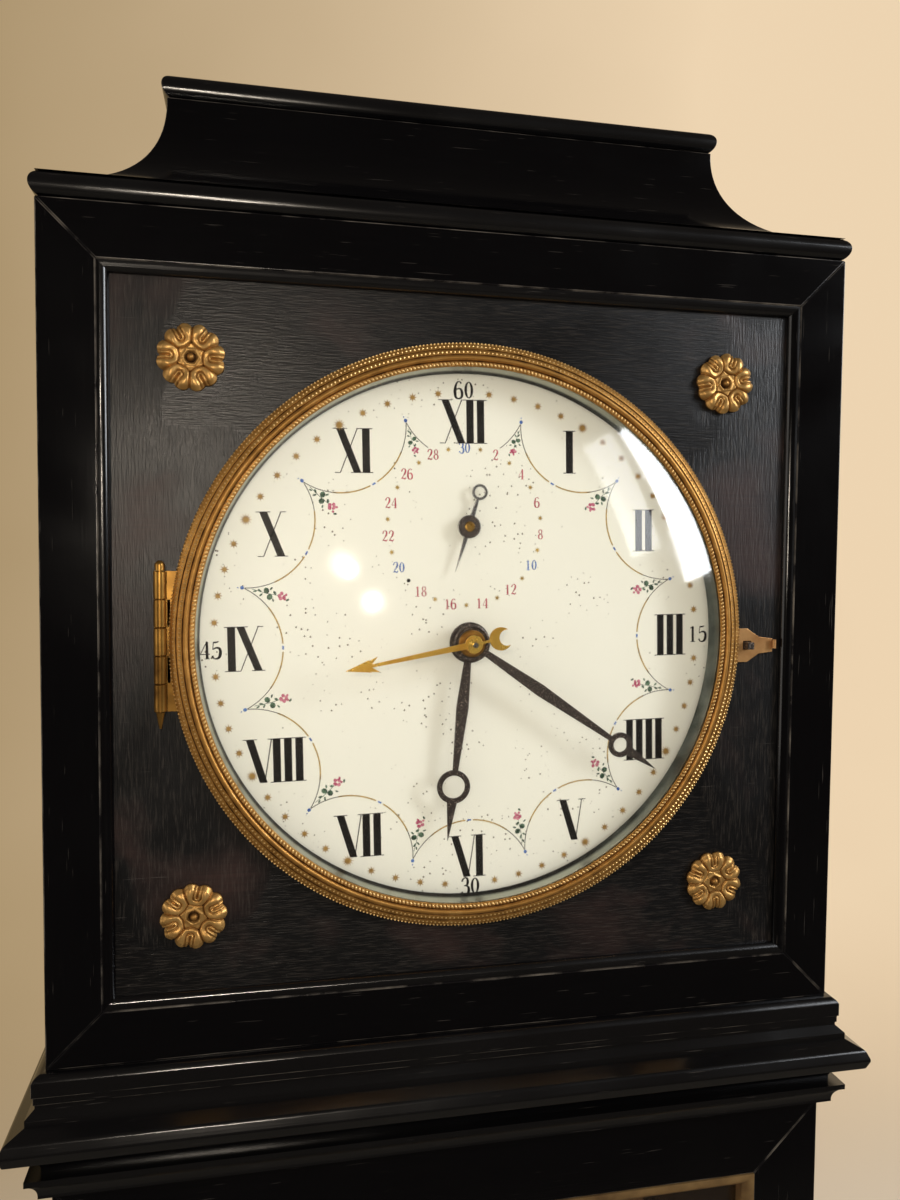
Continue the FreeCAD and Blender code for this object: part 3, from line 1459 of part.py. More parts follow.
def build_anchor():
    """Pallet arbor with the anchor over the escape wheel and the crutch behind the back plate."""
    clear = escape_radius + s.pallet_gap
    reach = clear * math.cos(math.radians(48))
    level = dial + clear * math.sin(math.radians(48))
    arm = s.anchor_arm
    anchor_z = anchor_spot[1]
    rear = rear_plate + s.plate_thick
    outline = [
        (-arm / 2, anchor_z + arm),
        (-reach - arm, level + arm / 2),
        (-reach - arm, level - arm / 2),
        (-reach, level),
        (-reach, level + arm / 2),
        (-arm / 2, anchor_z - arm / 2),
        (arm / 2, anchor_z - arm / 2),
        (reach, level + arm / 2),
        (reach, level),
        (reach + arm, level - arm / 2),
        (reach + arm, level + arm / 2),
        (arm / 2, anchor_z + arm),
    ]
    body = plate("anchor_arms", [outline], escape_plane, s.wheel_thick)
    start = plate_front
    crutch_y = rear + s.running_gap + s.arbor_radius
    arbor = cylinder("anchor_arbor", "y", (zero, start, anchor_z), s.arbor_radius,
                     crutch_y + s.wheel_thick - start)
    low = anchor_z - s.crutch_length
    bar = box("crutch_bar", (-s.arbor_radius * 1.5, crutch_y, low),
              (s.arbor_radius * 1.5, crutch_y + s.wheel_thick, anchor_z + s.arbor_radius * 1.5))
    gap = s.rod_radius + s.crutch_gap
    prong = s.arbor_radius * 1.5
    pieces = [body, arbor, bar]
    pieces.append(box("crutch_foot", (-gap - prong, crutch_y, low),
                      (gap + prong, crutch_y + s.wheel_thick, low + prong)))
    for side, sign in (("left", -1), ("right", 1)):
        x = gap if sign > 0 else -gap - prong
        pieces.append(box(f"crutch_prong_{side}", (x, crutch_y, low),
                          (x + prong, pendulum_y + s.rod_radius, low + prong)))
    keep(fuse("pallet_anchor", pieces), "pallet_anchor")


def build_pendulum():
    pivot = anchor_spot[1]
    spring_low = pivot - s.spring_length / 2
    keep(box("suspension_spring", (-s.spring_thick / 2, pendulum_y - s.spring_width / 2, spring_low),
             (s.spring_thick / 2, pendulum_y + s.spring_width / 2, spring_low + s.spring_length)),
         "suspension_spring")

    block_low = spring_low - s.rod_block_height
    block = box("rod_block", (-s.rod_block_depth / 2, pendulum_y - s.rod_block_width / 2, block_low),
                (s.rod_block_depth / 2, pendulum_y + s.rod_block_width / 2, spring_low))
    bob_z = pivot - s.pendulum_length
    rod_low = bob_z - s.bob_radius - s.rating_nut_height - s.rod_tail
    rod = cylinder("rod_bar", "z", (zero, pendulum_y, rod_low), s.rod_radius, spring_low - rod_low)
    keep(fuse("pendulum_rod", [block, rod]), "pendulum_rod")

    half_edge = s.bob_edge / 2
    half = s.bob_thick / 2
    sag = half - half_edge
    face = (s.bob_radius * s.bob_radius + sag * sag) / (2 * sag)
    lens = [
        (zero, -half),
        (s.bob_radius, -half_edge, face, 1),
        (s.bob_radius, half_edge),
        (zero, half, face, 1),
    ]
    bob = turned("bob_lens", lens, "y", zero, pendulum_y, bob_z)
    bore = cylinder("bob_bore", "z", (zero, pendulum_y, bob_z - s.bob_radius * 1.1),
                    s.rod_radius, s.bob_radius * 2.2)
    keep(cut("pendulum_bob", bob, [bore]), "pendulum_bob")

    nut_z = bob_z - s.bob_radius - s.rating_nut_height
    nut = cylinder("nut_body", "z", (zero, pendulum_y, nut_z), s.rating_nut_radius, s.rating_nut_height)
    bore = cylinder("nut_bore", "z", (zero, pendulum_y, nut_z), s.rod_radius, s.rating_nut_height)
    keep(cut("rating_nut", nut, [bore]), "rating_nut")


def build_weights():
    """A driving weight and a small counterweight on one line over the sheave."""
    axle = great_spot[1]

    def hanging(node, x, radius, height, length):
        top = axle - length - s.hook_height
        cap = radius / 6
        neck = s.hook_radius
        outline = [
            (zero, -height),
            (radius - cap, -height),
            (radius, cap - height, cap, 1),
            (radius, -cap),
            (radius - cap, zero, cap, 1),
            (neck * 2, zero),
            (neck, neck),
            (neck, s.hook_height),
            (zero, s.hook_height),
        ]
        keep(turned(node, outline, "z", x, line_y, top), node)

    weight_x = great_spot[0] + s.sheave_radius
    counter_x = great_spot[0] - s.sheave_radius
    hanging("driving_weight", weight_x, s.weight_radius, s.weight_height, s.weight_line)
    hanging("counterweight", counter_x, s.counter_radius, s.counter_height, s.counter_line)

    middle = FreeCAD.Vector(great_spot[0].value, line_y.value, axle.value)
    radius = s.sheave_radius.value
    right = middle + FreeCAD.Vector(radius, 0, 0)
    left = middle - FreeCAD.Vector(radius, 0, 0)
    weight_end = right - FreeCAD.Vector(0, 0, s.weight_line.value)
    counter_end = left - FreeCAD.Vector(0, 0, s.counter_line.value)
    crown = middle + FreeCAD.Vector(0, 0, radius)
    path = Part.Wire([
        Part.LineSegment(weight_end, right).toShape(),
        Part.Arc(right, crown, left).toShape(),
        Part.LineSegment(left, counter_end).toShape(),
    ])
    start = Part.Circle(weight_end, FreeCAD.Vector(0, 0, 1), s.line_radius.value)
    tube = path.makePipeShell([Part.Wire([start.toShape()])], True, False)
    line = doc.addObject("Part::Feature", "drive_line")
    line.Shape = tube
    keep(line, "drive_line")


build_plinth()
build_trunk_case()
build_backboard()
build_trunk_door()
build_trunk_hinges()
build_hood_front()
build_hood_sides()
build_hood_base()
build_hood_crest()
build_rosettes()
build_bezel()
build_bezel_hinge()
build_bezel_catch()
build_plates()
build_bracket()
build_dial()
build_going_train()
build_motion_work()
build_hands()
build_anchor()
build_pendulum()
build_weights()
doc.recompute()

for thing in doc.Objects:
    if "Invalid" in thing.State or "Error" in thing.State:
        raise RuntimeError(f"{thing.Name} failed: {thing.State}")
for solid in sub_parts:
    if solid.Shape.isNull() or not solid.Shape.isValid() or not solid.Shape.Solids:
        raise RuntimeError(f"{solid.Label} has no sound shape")

os.makedirs("parts", exist_ok=True)
for solid in sub_parts:
    solid.Shape.exportStep(f"parts/{solid.Label}.step")
print(len(sub_parts), "sub-parts written")
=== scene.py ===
# %% [markdown]
# # Dressing a regulator clock
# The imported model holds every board, wheel and hinge of the clock at its real size.
# Blender adds what a joiner, a gilder and a dial painter add: polish, chasing and paint.
# Each step first says what the real thing is, then builds it.

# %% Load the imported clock
import json
import math
import random

import bmesh
import bpy
from mathutils import Matrix, Vector

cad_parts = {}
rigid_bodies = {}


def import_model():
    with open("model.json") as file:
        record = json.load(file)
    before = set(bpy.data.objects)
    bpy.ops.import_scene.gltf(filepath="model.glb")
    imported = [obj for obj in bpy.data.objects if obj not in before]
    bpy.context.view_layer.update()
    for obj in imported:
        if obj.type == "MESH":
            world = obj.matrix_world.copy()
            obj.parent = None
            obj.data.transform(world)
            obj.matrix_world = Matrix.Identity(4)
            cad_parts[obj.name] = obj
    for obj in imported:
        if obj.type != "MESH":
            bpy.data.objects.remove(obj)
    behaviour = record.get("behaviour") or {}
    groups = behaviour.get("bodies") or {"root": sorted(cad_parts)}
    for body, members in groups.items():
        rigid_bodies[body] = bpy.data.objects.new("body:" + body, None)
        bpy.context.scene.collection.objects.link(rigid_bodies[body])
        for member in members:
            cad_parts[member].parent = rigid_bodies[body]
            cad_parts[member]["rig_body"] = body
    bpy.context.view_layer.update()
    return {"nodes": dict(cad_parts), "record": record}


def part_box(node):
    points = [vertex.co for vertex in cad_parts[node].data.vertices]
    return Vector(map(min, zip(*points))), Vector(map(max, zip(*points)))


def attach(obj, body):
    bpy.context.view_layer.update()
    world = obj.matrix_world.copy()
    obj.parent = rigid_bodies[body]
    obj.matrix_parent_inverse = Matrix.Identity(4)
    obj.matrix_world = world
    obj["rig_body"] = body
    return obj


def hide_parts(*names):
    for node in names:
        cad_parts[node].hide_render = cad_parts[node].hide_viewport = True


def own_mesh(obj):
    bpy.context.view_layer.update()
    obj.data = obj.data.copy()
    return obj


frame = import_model()
nodes = frame["nodes"]
MM = 0.001
print("nodes loaded:", len(nodes))

# %% [markdown]
# ## The camera
# The view is from a little left of the clock and just above the dial, close by with a wide lens.
# The three turns were found by matching the dial's circle and the case's corners, so the camera is
# placed by numbers and not aimed by eye.

# %% Camera
EYE = Vector((-117.4, -619.7, 1729.3)) * MM
LENS_MM = 27.92
PAN, TILT, ROLL = (math.radians(a) for a in (-11.757, 2.786, 0.477))

facing_front = Matrix(((1, 0, 0), (0, 0, -1), (0, 1, 0)))
turns = Matrix.Rotation(ROLL, 3, "Z") @ Matrix.Rotation(TILT, 3, "X") @ Matrix.Rotation(PAN, 3, "Y")
right, down, forward = (turns @ facing_front)
axes = Matrix((right, -down, -forward)).transposed()

camera = bpy.data.objects.new("camera", bpy.data.cameras.new("camera"))
camera.data.lens = LENS_MM
camera.data.sensor_width = 36
camera.data.clip_start = 0.01
camera.matrix_world = Matrix.Translation(EYE) @ axes.to_4x4()
bpy.context.scene.collection.objects.link(camera)
bpy.context.scene.camera = camera
print("camera looks along", [round(v, 3) for v in forward])

# %% [markdown]
# ## Helpers for finishes
# A finish is a small graph of nodes. One helper turns a colour as a designer writes it into the
# linear values that shaders count in, one sets or joins a node's inputs, and one adds a node.

# %% Colour and node helpers
# What makes a Mix node blend colours, and the output that then carries them.
COLOUR = {"out": 2, "data_type": "RGBA"}


def paint(code):
    """An sRGB hex colour as linear RGBA."""
    parts = [int(code[i:i + 2], 16) / 255 for i in (1, 3, 5)]
    linear = [p / 12.92 if p <= 0.04045 else ((p + 0.055) / 1.055) ** 2.4 for p in parts]
    return (*linear, 1.0)


def per(size_mm):
    """How many cells of a pattern fit in a metre."""
    return 1000 / size_mm


def feed(node, inputs):
    """Sets inputs of a node: a hex colour, another value, or the socket that feeds it."""
    for name, value in inputs.items():
        if isinstance(value, bpy.types.NodeSocket):
            node.id_data.links.new(value, node.inputs[name])
        else:
            node.inputs[name].default_value = paint(value) if isinstance(value, str) else value


def add(tree, kind, inputs, out=0, **settings):
    """Adds one node with its settings and gives back one of its outputs."""
    node = tree.nodes.new("ShaderNode" + kind)
    for name, value in settings.items():
        setattr(node, name, value)
    feed(node, inputs)
    return node.outputs[out]


def start_finish(name, values):
    """A new material with constants set on its shader, and its places in the piece's own space."""
    material = bpy.data.materials.new(name)
    material.use_nodes = True
    tree = material.node_tree
    shader = tree.nodes["Principled BSDF"]
    feed(shader, values)
    return material, tree, shader, add(tree, "TexCoord", {}, "Object")


print("paint('#808080') is", [round(v, 3) for v in paint("#808080")])

# %% [markdown]
# ## Ebonised wood
# The case is a close-grained wood stained black and French polished. Age shows as fine lines along
# the grain, cloudy patches where the black has rubbed back to brown, and hair scratches.
# Stretched noise gives the grain; the axis that it is stretched along is the way the board runs.

# %% Ebonised pearwood
X_RUN, Y_RUN, Z_RUN = range(3)


def ebonised_pear(name, along, bare, gleam=(0.08, 0.18)):
    """Polished black; bare is how much brown shows through, gleam the range of roughness.
    Gives back what a rougher finish adds to."""
    material, tree, shader, spot = start_finish(name, {"IOR": 1.5, "Specular IOR Level": 0.4})
    pores = [per(0.9)] * 3
    pores[along] = per(45)
    run = add(tree, "Mapping", {"Vector": spot, "Scale": pores})
    grain = add(tree, "TexNoise", {"Vector": run, "Detail": 4, "Scale": 1})
    cloud = add(tree, "TexNoise", {"Vector": spot, "Scale": per(80), "Detail": 5, "Distortion": 0.5})
    hairs = [per(0.7)] * 3
    hairs[along] = per(22)
    hair_run = add(tree, "Mapping", {"Vector": spot, "Scale": hairs, "Rotation": (0.12, 0.16, 0.1)})
    hair = add(tree, "TexNoise", {"Vector": hair_run, "Scale": 1, "Detail": 1})

    black = add(tree, "Mix", {0: grain, 6: "#020203", 7: "#070607"}, **COLOUR)
    rubbed = add(tree, "MapRange", {"Value": cloud, "From Min": 0.74 - bare, "From Max": 0.92 - bare})
    brown = add(tree, "Mix", {0: grain, 6: "#1c0f0b", 7: "#351e18"}, **COLOUR)
    worn = add(tree, "Mix", {0: rubbed, 6: black, 7: brown}, **COLOUR)
    scratch = add(tree, "MapRange", {"Value": hair, "From Min": 0.735, "From Max": 0.8, "To Max": 0.3})
    colour = add(tree, "Mix", {0: scratch, 6: worn, 7: "#5a544e"}, **COLOUR)
    sheen = add(tree, "MapRange", {"Value": cloud, "From Min": 0.3, "From Max": 0.7, "To Min": gleam[0],
                                   "To Max": gleam[1]})
    bump = add(tree, "Bump", {"Height": grain, "Strength": 0.2, "Distance": 0.1 * MM})
    feed(shader, {"Base Color": colour, "Roughness": sheen, "Normal": bump})
    return material, spot, cloud, colour, bump


upright = ebonised_pear("ebonised_pear_upright", Z_RUN, -0.06)[0]
level = ebonised_pear("ebonised_pear_level", X_RUN, -0.06)[0]
# Wax builds up on mouldings, so their gleam is broader and stronger.
WORN_GLEAM = (0.15, 0.25)
moulded = ebonised_pear("ebonised_pear_moulded", X_RUN, -0.06, WORN_GLEAM)[0]
returned = ebonised_pear("ebonised_pear_return", Y_RUN, -0.06, WORN_GLEAM)[0]
for finish in (moulded, returned):
    feed(finish.node_tree.nodes["Principled BSDF"], {"Specular IOR Level": 1.0})
print("wood finishes:", upright.name, level.name, moulded.name, returned.name)

# %% [markdown]
# ## The dulled panel
# Round the dial the polish has gone dull with two centuries of dusting. The cloth ran along each side of
# the panel, so the scuffs are upright at the sides and level above and below.
# The panel starts as the same wood. Rougher values replace its roughness and bump. The scuffs are painted
# lighter grey, partly as dust held in them and partly as a painted glint along them.

# %% Panel wood
panel_wood, spot, cloud, stained, smooth_bump = ebonised_pear("ebonised_pear_panel", X_RUN, 0.2)
tree = panel_wood.node_tree
shader = tree.nodes["Principled BSDF"]
feed(shader, {"Specular IOR Level": 0.62})
PANEL_MIDDLE = 1.683
place = add(tree, "SeparateXYZ", {0: spot}).node.outputs
sideways = add(tree, "Math", {0: place["X"]}, operation="ABSOLUTE")
height = add(tree, "Math", {0: place["Z"], 1: PANEL_MIDDLE}, operation="SUBTRACT")
upward = add(tree, "Math", {0: height}, operation="ABSOLUTE")
lead = add(tree, "Math", {0: sideways, 1: upward}, operation="SUBTRACT")
wandering = add(tree, "Math", {0: cloud, 1: 0.3, 2: lead}, operation="MULTIPLY_ADD")
at_sides = add(tree, "MapRange", {"Value": wandering, "From Min": 0.14, "From Max": 0.16})
# A real scuff is a hair wide; these are over half a millimetre, so that they show in the render.
level_run = add(tree, "Mapping", {"Vector": spot, "Scale": (per(9), per(0.6), per(0.6)),
                                  "Rotation": (0, 0.25, 0)})
upright_run = add(tree, "Mapping", {"Vector": spot, "Scale": (per(0.7), per(0.7), per(9)),
                                    "Rotation": (0, 0.3, 0)})
level_scuffs = add(tree, "TexNoise", {"Vector": level_run, "Scale": 1, "Detail": 4})
upright_scuffs = add(tree, "TexNoise", {"Vector": upright_run, "Scale": 1, "Detail": 4})
scuffs = add(tree, "Mix", {0: at_sides, 2: level_scuffs, 3: upright_scuffs})
dulled = add(tree, "MapRange", {"Value": cloud, "From Min": 0.3, "From Max": 0.7, "To Min": 0.29,
                                "To Max": 0.44})
scuffed = add(tree, "Bump", {"Height": scuffs, "Strength": 1.0, "Distance": 0.22 * MM,
                             "Normal": smooth_bump})
# Painted glint: the scuffs are lighter grey, partly from dust in them and partly standing in for the light
# they catch.
glint_and_dust_share = add(tree, "MapRange", {"Value": scuffs, "From Min": 0.5, "From Max": 0.75, "To Max": 0.35})
dust_and_glint = add(tree, "Mix", {0: glint_and_dust_share, 6: stained, 7: "#473f37"}, **COLOUR)
feed(shader, {"Roughness": dulled, "Normal": scuffed, "Base Color": dust_and_glint})
print("panel finish:", panel_wood.name)

# %% [markdown]
# ## Rubbed arrises with a painted highlight
# Edges are where hands and dusters touch, so the black goes thin there. The lighter line on them is partly
# that wear and partly a painted highlight, standing in for the light a polished edge catches. The line
# comes and goes, so a noise as long as a fingertip fades it in and out.

# %% Rubbed arris with a painted highlight
worn_and_highlit_arris, tree, shader, spot = start_finish("worn_and_highlit_arris", {"IOR": 1.5, "Roughness": 0.22})
touch = add(tree, "TexNoise", {"Vector": spot, "Scale": per(16), "Detail": 4})
thin = add(tree, "MapRange", {"Value": touch, "From Min": 0.4, "From Max": 0.85})
# Painted highlight: the lighter arris colour is partly wear and partly the light a polished edge catches.
edge = add(tree, "Mix", {0: thin, 6: "#100e0f", 7: "#6e665c"}, **COLOUR)
feed(shader, {"Base Color": edge})
print("edge finish:", worn_and_highlit_arris.name)

# %% [markdown]
# ## Oak for what is not on show
# The backboard and the bottom board are plain oiled oak: brown, open-grained and dull.
# Broad bands across the board and fine pores along it are enough to read as oak.

# %% Carcass oak
oak, tree, shader, spot = start_finish("oiled_oak", {"IOR": 1.45})
bands = add(tree, "Mapping", {"Vector": spot, "Scale": (per(26), per(26), per(420))})
figure = add(tree, "TexNoise", {"Vector": bands, "Scale": 1, "Detail": 6, "Distortion": 0.8})
pore_run = add(tree, "Mapping", {"Vector": spot, "Scale": (per(1.1), per(1.1), per(14))})
pore = add(tree, "TexNoise", {"Vector": pore_run, "Scale": 1, "Detail": 2})
pitted = add(tree, "MapRange", {"Value": pore, "From Min": 0.58, "From Max": 0.7})
plain = add(tree, "Mix", {0: figure, 6: "#6d4a2c", 7: "#a67a4d"}, **COLOUR)
pored = add(tree, "Mix", {0: pitted, 6: plain, 7: "#3f2916"}, **COLOUR)
dull = add(tree, "MapRange", {"Value": figure, "To Min": 0.5, "To Max": 0.7})
grooves = add(tree, "Bump", {"Height": pitted, "Strength": 0.35, "Distance": 0.2 * MM}, invert=True)
feed(shader, {"Base Color": pored, "Roughness": dull, "Normal": grooves})
print("carcass finish:", oak.name)

# %% [markdown]
# ## Pieces from solids
# A CAD solid arrives as loose triangles with knife-sharp edges. A joiner's edge is never that sharp,
# so a copy is merged, its flat triangles are joined, and its outer arrises are rounded by a fraction
# of a millimetre. The copy then stands for the node and rides where the node rides.

# %% Objects that ride
def as_object(name, bm, *finishes):
    """Turns a bmesh into an object."""
    mesh = bpy.data.meshes.new(name)
    bm.to_mesh(mesh)
    bm.free()
    for finish in finishes:
        mesh.materials.append(finish)
    piece = bpy.data.objects.new(name, mesh)
    bpy.context.scene.collection.objects.link(piece)
    return piece


def set_piece(name, bm, body, slot, *finishes):
    """Turns a bmesh into an object that rides on a body."""
    piece = as_object(name, bm, *finishes)
    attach(piece, body)
    return piece


# %% Rounded arrises
SHARP = math.radians(32)
NOSE_ROUND, LEVEL_WITHIN = 2.85 * MM, 0.01 * MM


def shade(bm):
    """Smooth faces, with a hard line along each sharp or open edge."""
    for face in bm.faces:
        face.smooth = True
    for edge in bm.edges:
        if len(edge.link_faces) != 2 or edge.calc_face_angle() > SHARP:
            edge.smooth = False


def arrises(bm):
    """The sharp outer edges."""
    return [e for e in bm.edges if len(e.link_faces) == 2 and e.is_convex and e.calc_face_angle() > SHARP]


def round_edges(bm, edges, offset, segments):
    """Rounds edges and gives back the new faces."""
    return bmesh.ops.bevel(bm, geom=edges, offset=offset, offset_type="OFFSET", segments=segments,
                           profile=0.5, affect="EDGES", clamp_overlap=True, material=-1)["faces"]


def soften(bm, arris, nose=None):
    """Merges loose triangles and rounds the outer arrises; gives back the rounded faces.
    nose is the span of heights in which a moulding's edges are rounded far more."""
    bmesh.ops.remove_doubles(bm, verts=bm.verts, dist=0.002 * MM)
    bmesh.ops.dissolve_limit(bm, angle_limit=math.radians(0.5), verts=bm.verts, edges=bm.edges)
    if nose:
        bulge = [e for e in arrises(bm) if all(nose[0] < v.co.z < nose[1] for v in e.verts)
                 and abs(e.verts[0].co.z - e.verts[1].co.z) < LEVEL_WITHIN]
        round_edges(bm, bulge, NOSE_ROUND, 5)
    rounded = round_edges(bm, arrises(bm), arris, 2) if arris else []
    shade(bm)
    return rounded


print("sharp edges are over", round(math.degrees(SHARP)), "degrees")

# %% Softened copies
def keep_flats_flat(piece):
    """Large faces rule the shading, so rounding does not darken the flats beside it."""
    weighing = piece.modifiers.new("flats stay flat", "WEIGHTED_NORMAL")
    weighing.keep_sharp = True
    return piece


def slot_of(node):
    return next(p["material_slot"] for p in frame["record"]["subparts"] if p["node"] == node)


def from_solid(node, arris_mm, *finishes, second=lambda p: False, parts=(lambda p: True,), nose=None):
    """A softened copy of a CAD node. Each test in parts picks a board that is softened by itself.
    Faces whose middle passes second take the second finish, and rounded arrises take the last."""
    bm = bmesh.new()
    for belongs in parts:
        part = bmesh.new()
        part.from_mesh(nodes[node].data)
        others = [f for f in part.faces if not belongs(f.calc_center_median() - f.normal * 0.5 * MM)]
        bmesh.ops.delete(part, geom=others, context="FACES")
        rounded = set(soften(part, arris_mm * MM, nose))
        for face in part.faces:
            plain = int(second(face.calc_center_median()))
            face.material_index = len(finishes) - 1 if face in rounded else plain
        joined = bpy.data.meshes.new("one part")
        part.to_mesh(joined)
        part.free()
        bm.from_mesh(joined)
        bpy.data.meshes.remove(joined)
    piece = set_piece(node + "_piece", bm, nodes[node]["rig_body"], slot_of(node), *finishes)
    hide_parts(node)
    return keep_flats_flat(piece)


print("solids to copy:", len(nodes))

# %% [markdown]
# ## The wooden case
# Boards run up or across, and mouldings run round three sides with mitred corners.
# Grain follows each member, so a face takes the finish of the side of the case that it is nearest to.
# The two mitred frames are four boards each, softened one by one, which leaves a fine line at the mitre.

# %% Which way a member runs
def frame_side(node):
    """A test that tells the stiles of an upright frame from its rails."""
    low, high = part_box(node)
    return lambda p: min(p.x - low.x, high.x - p.x) < min(p.z - low.z, high.z - p.z)


def return_side(node):
    """A test that tells a moulding's side returns from its front run."""
    low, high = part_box(node)
    return lambda p: min(p.x - low.x, high.x - p.x) < p.y - low.y


def four_members(node):
    """One test for each board of a mitred frame."""
    low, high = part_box(node)
    middle = (low + high) / 2
    stile = frame_side(node)
    return [lambda p: stile(p) and p.x < middle.x, lambda p: stile(p) and p.x >= middle.x,
            lambda p: not stile(p) and p.z < middle.z, lambda p: not stile(p) and p.z >= middle.z]


print("boards in a mitred frame:", len(four_members("hood_front_frame")))

# %% Frames, panel and boards
for node in ("hood_front_frame", "trunk_door_frame"):
    from_solid(node, 0.7, level, upright, worn_and_highlit_arris, second=frame_side(node), parts=four_members(node))
from_solid("hood_panel_bead", 0.25, moulded, upright, worn_and_highlit_arris, second=frame_side("hood_panel_bead"))
from_solid("hood_front_panel", 0.3, panel_wood, worn_and_highlit_arris)
for node in ("hood_side_boards", "trunk_side_boards", "plinth_side_boards"):
    from_solid(node, 0.6, upright, worn_and_highlit_arris)
for node in ("hood_crest_cap", "trunk_top_rail", "plinth_front_board"):
    from_solid(node, 0.6, level, worn_and_highlit_arris)
for node in ("backboard", "plinth_bottom_board"):
    from_solid(node, 0.5, oak, oak)
print("boards done")

# %% Mouldings
CORNICE_NOSE = (1.4205, 1.4330)
for node in ("hood_cornice_nosing", "hood_crest_cove", "hood_crest_nosing", "hood_base_moulding",
             "trunk_cornice", "plinth_base_moulding", "plinth_cap_moulding"):
    from_solid(node, 0.35, level if node == "hood_crest_cove" else moulded, returned, worn_and_highlit_arris,
               second=return_side(node), nose=CORNICE_NOSE if node == "trunk_cornice" else None)
print("mouldings done")

# %% [markdown]
# ## Gilt bronze
# The bezel, the rosettes and the thin trim are cast, chased and gilt. Gilding stays bright where it is
# rubbed and goes brown in the hollows. The chased pieces carry a value called relief at each point,
# 0 in a hollow and 1 on a crest, and the finish reads it.

# %% Gilt bronze
def gilt_bronze(name, hollow, body, crest, roughness):
    # Old gilding is partly matt under its grime, so it is not wholly a mirror.
    material, tree, shader, spot = start_finish(name, {"Metallic": 0.8})
    relief = add(tree, "Attribute", {}, "Fac", attribute_name="relief")
    stain = add(tree, "TexNoise", {"Vector": spot, "Scale": per(7), "Detail": 5})
    uneven = add(tree, "Math", {0: stain, 1: -0.5}, operation="ADD")
    height = add(tree, "Math", {0: uneven, 1: 0.7, 2: relief}, operation="MULTIPLY_ADD")
    rising = add(tree, "MapRange", {"Value": height, "From Min": 0.05, "From Max": 0.5})
    topping = add(tree, "MapRange", {"Value": height, "From Min": 0.55, "From Max": 1.0})
    lower = add(tree, "Mix", {0: rising, 6: hollow, 7: body}, **COLOUR)
    colour = add(tree, "Mix", {0: topping, 6: lower, 7: crest}, **COLOUR)
    polish = add(tree, "MapRange", {"Value": height, "To Min": roughness + 0.18, "To Max": roughness})
    grit = add(tree, "TexNoise", {"Vector": spot, "Scale": per(0.6), "Detail": 2})
    bump = add(tree, "Bump", {"Height": grit, "Strength": 0.2, "Distance": 0.1 * MM})
    feed(shader, {"Base Color": colour, "Roughness": polish, "Normal": bump})
    return material


bezel_gilt = gilt_bronze("gilt_bronze_bezel", "#47290f", "#bd8a46", "#f5cd88", 0.36)
rosette_gilt = gilt_bronze("gilt_bronze_rosette", "#3b2511", "#aa7b3f", "#dfb06a", 0.38)
print("gilt finishes:", bezel_gilt.name, rosette_gilt.name)

# %% [markdown]
# ## The bezel
# The ring round the glass is turned on a lathe and then worked with small wheels that roll a pattern in:
# a milled edge, two bands of tiny points, a plain ridge, and a row of slanted beads like twisted rope.
# The lathe work is one profile spun about the dial's axis. Each rolled pattern is one small form,
# copied round by the same spin with its duplicate option.

# %% Turned ring
bezel_low, bezel_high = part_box("bezel_ring")
bezel_axis = Vector((0, bezel_high.y, (bezel_low.z + bezel_high.z) / 2))
AXIS_Y, AXIS_Z = (0, 1, 0), (0, 0, 1)
FACING = Matrix.Rotation(math.radians(90), 4, "X")
TURN = 2 * math.pi


def on_ring(radius_mm, height_mm):
    """A point of the ring's section: radius from the axis, height in front of its back face."""
    return bezel_axis + Vector((radius_mm, -height_mm, 0)) * MM


def face_out(bm):
    bmesh.ops.recalc_face_normals(bm, faces=bm.faces)


def spin_section(bm, section, centre, axis, steps):
    """Spins a closed outline of points into a ring."""
    corners = [bm.verts.new(p) for p in section]
    sides = [bm.edges.new((a, b)) for a, b in zip(corners, corners[1:] + corners[:1])]
    bmesh.ops.spin(bm, geom=corners + sides, cent=centre, axis=axis, angle=TURN, steps=steps,
                   use_merge=True)
    face_out(bm)


RING_SECTION = [
    (151.2, 0), (162.5, 0), (162.5, 2.6), (161.5, 3.5), (159.1, 5.2), (158.9, 4.6), (158.4, 4.7),
    (158.2, 5.6), (155.8, 6.8), (155.6, 6.1), (155.1, 6.2), (154.9, 7.0), (154.3, 7.6), (153.5, 7.8),
    (152.8, 7.5), (152.4, 6.8), (152.2, 5.9), (151.8, 5.9), (151.5, 6.3), (149.4, 6.2), (149, 5.6),
    (151.2, 5.6)]
GROOVES = (158.9, 158.4, 155.6, 155.1, 152.2, 151.8)
bezel = bmesh.new()
relief = bezel.verts.layers.float.new("relief")
spin_section(bezel, [on_ring(*p) for p in RING_SECTION], bezel_axis, AXIS_Y, 240)
for vert in bezel.verts:
    out = Vector((vert.co.x, 0, vert.co.z - bezel_axis.z)).length / MM
    vert[relief] = 0.14 if any(abs(out - g) < 0.1 for g in GROOVES) else 0.5
for face in bezel.faces:
    face.smooth = True
print("turned ring faces:", len(bezel.faces))

# %% Rolled patterns
def cone(bm, sides, low_mm, high_mm, tall_mm, place):
    """A cone with a flat top, centred on a place; gives back its points."""
    return bmesh.ops.create_cone(bm, cap_ends=True, segments=sides, radius1=low_mm * MM,
                                 radius2=high_mm * MM, depth=tall_mm * MM, matrix=place)["verts"]


def copy_round(bm, made, count, centre):
    """Copies one small form all round a centre."""
    edges = dict.fromkeys(e for v in made for e in v.link_edges)
    faces = dict.fromkeys(f for v in made for f in v.link_faces)
    bmesh.ops.spin(bm, geom=[*made, *edges, *faces], cent=centre, axis=AXIS_Y,
                   angle=TURN * (count - 1) / count, steps=count - 1, use_duplicate=True)


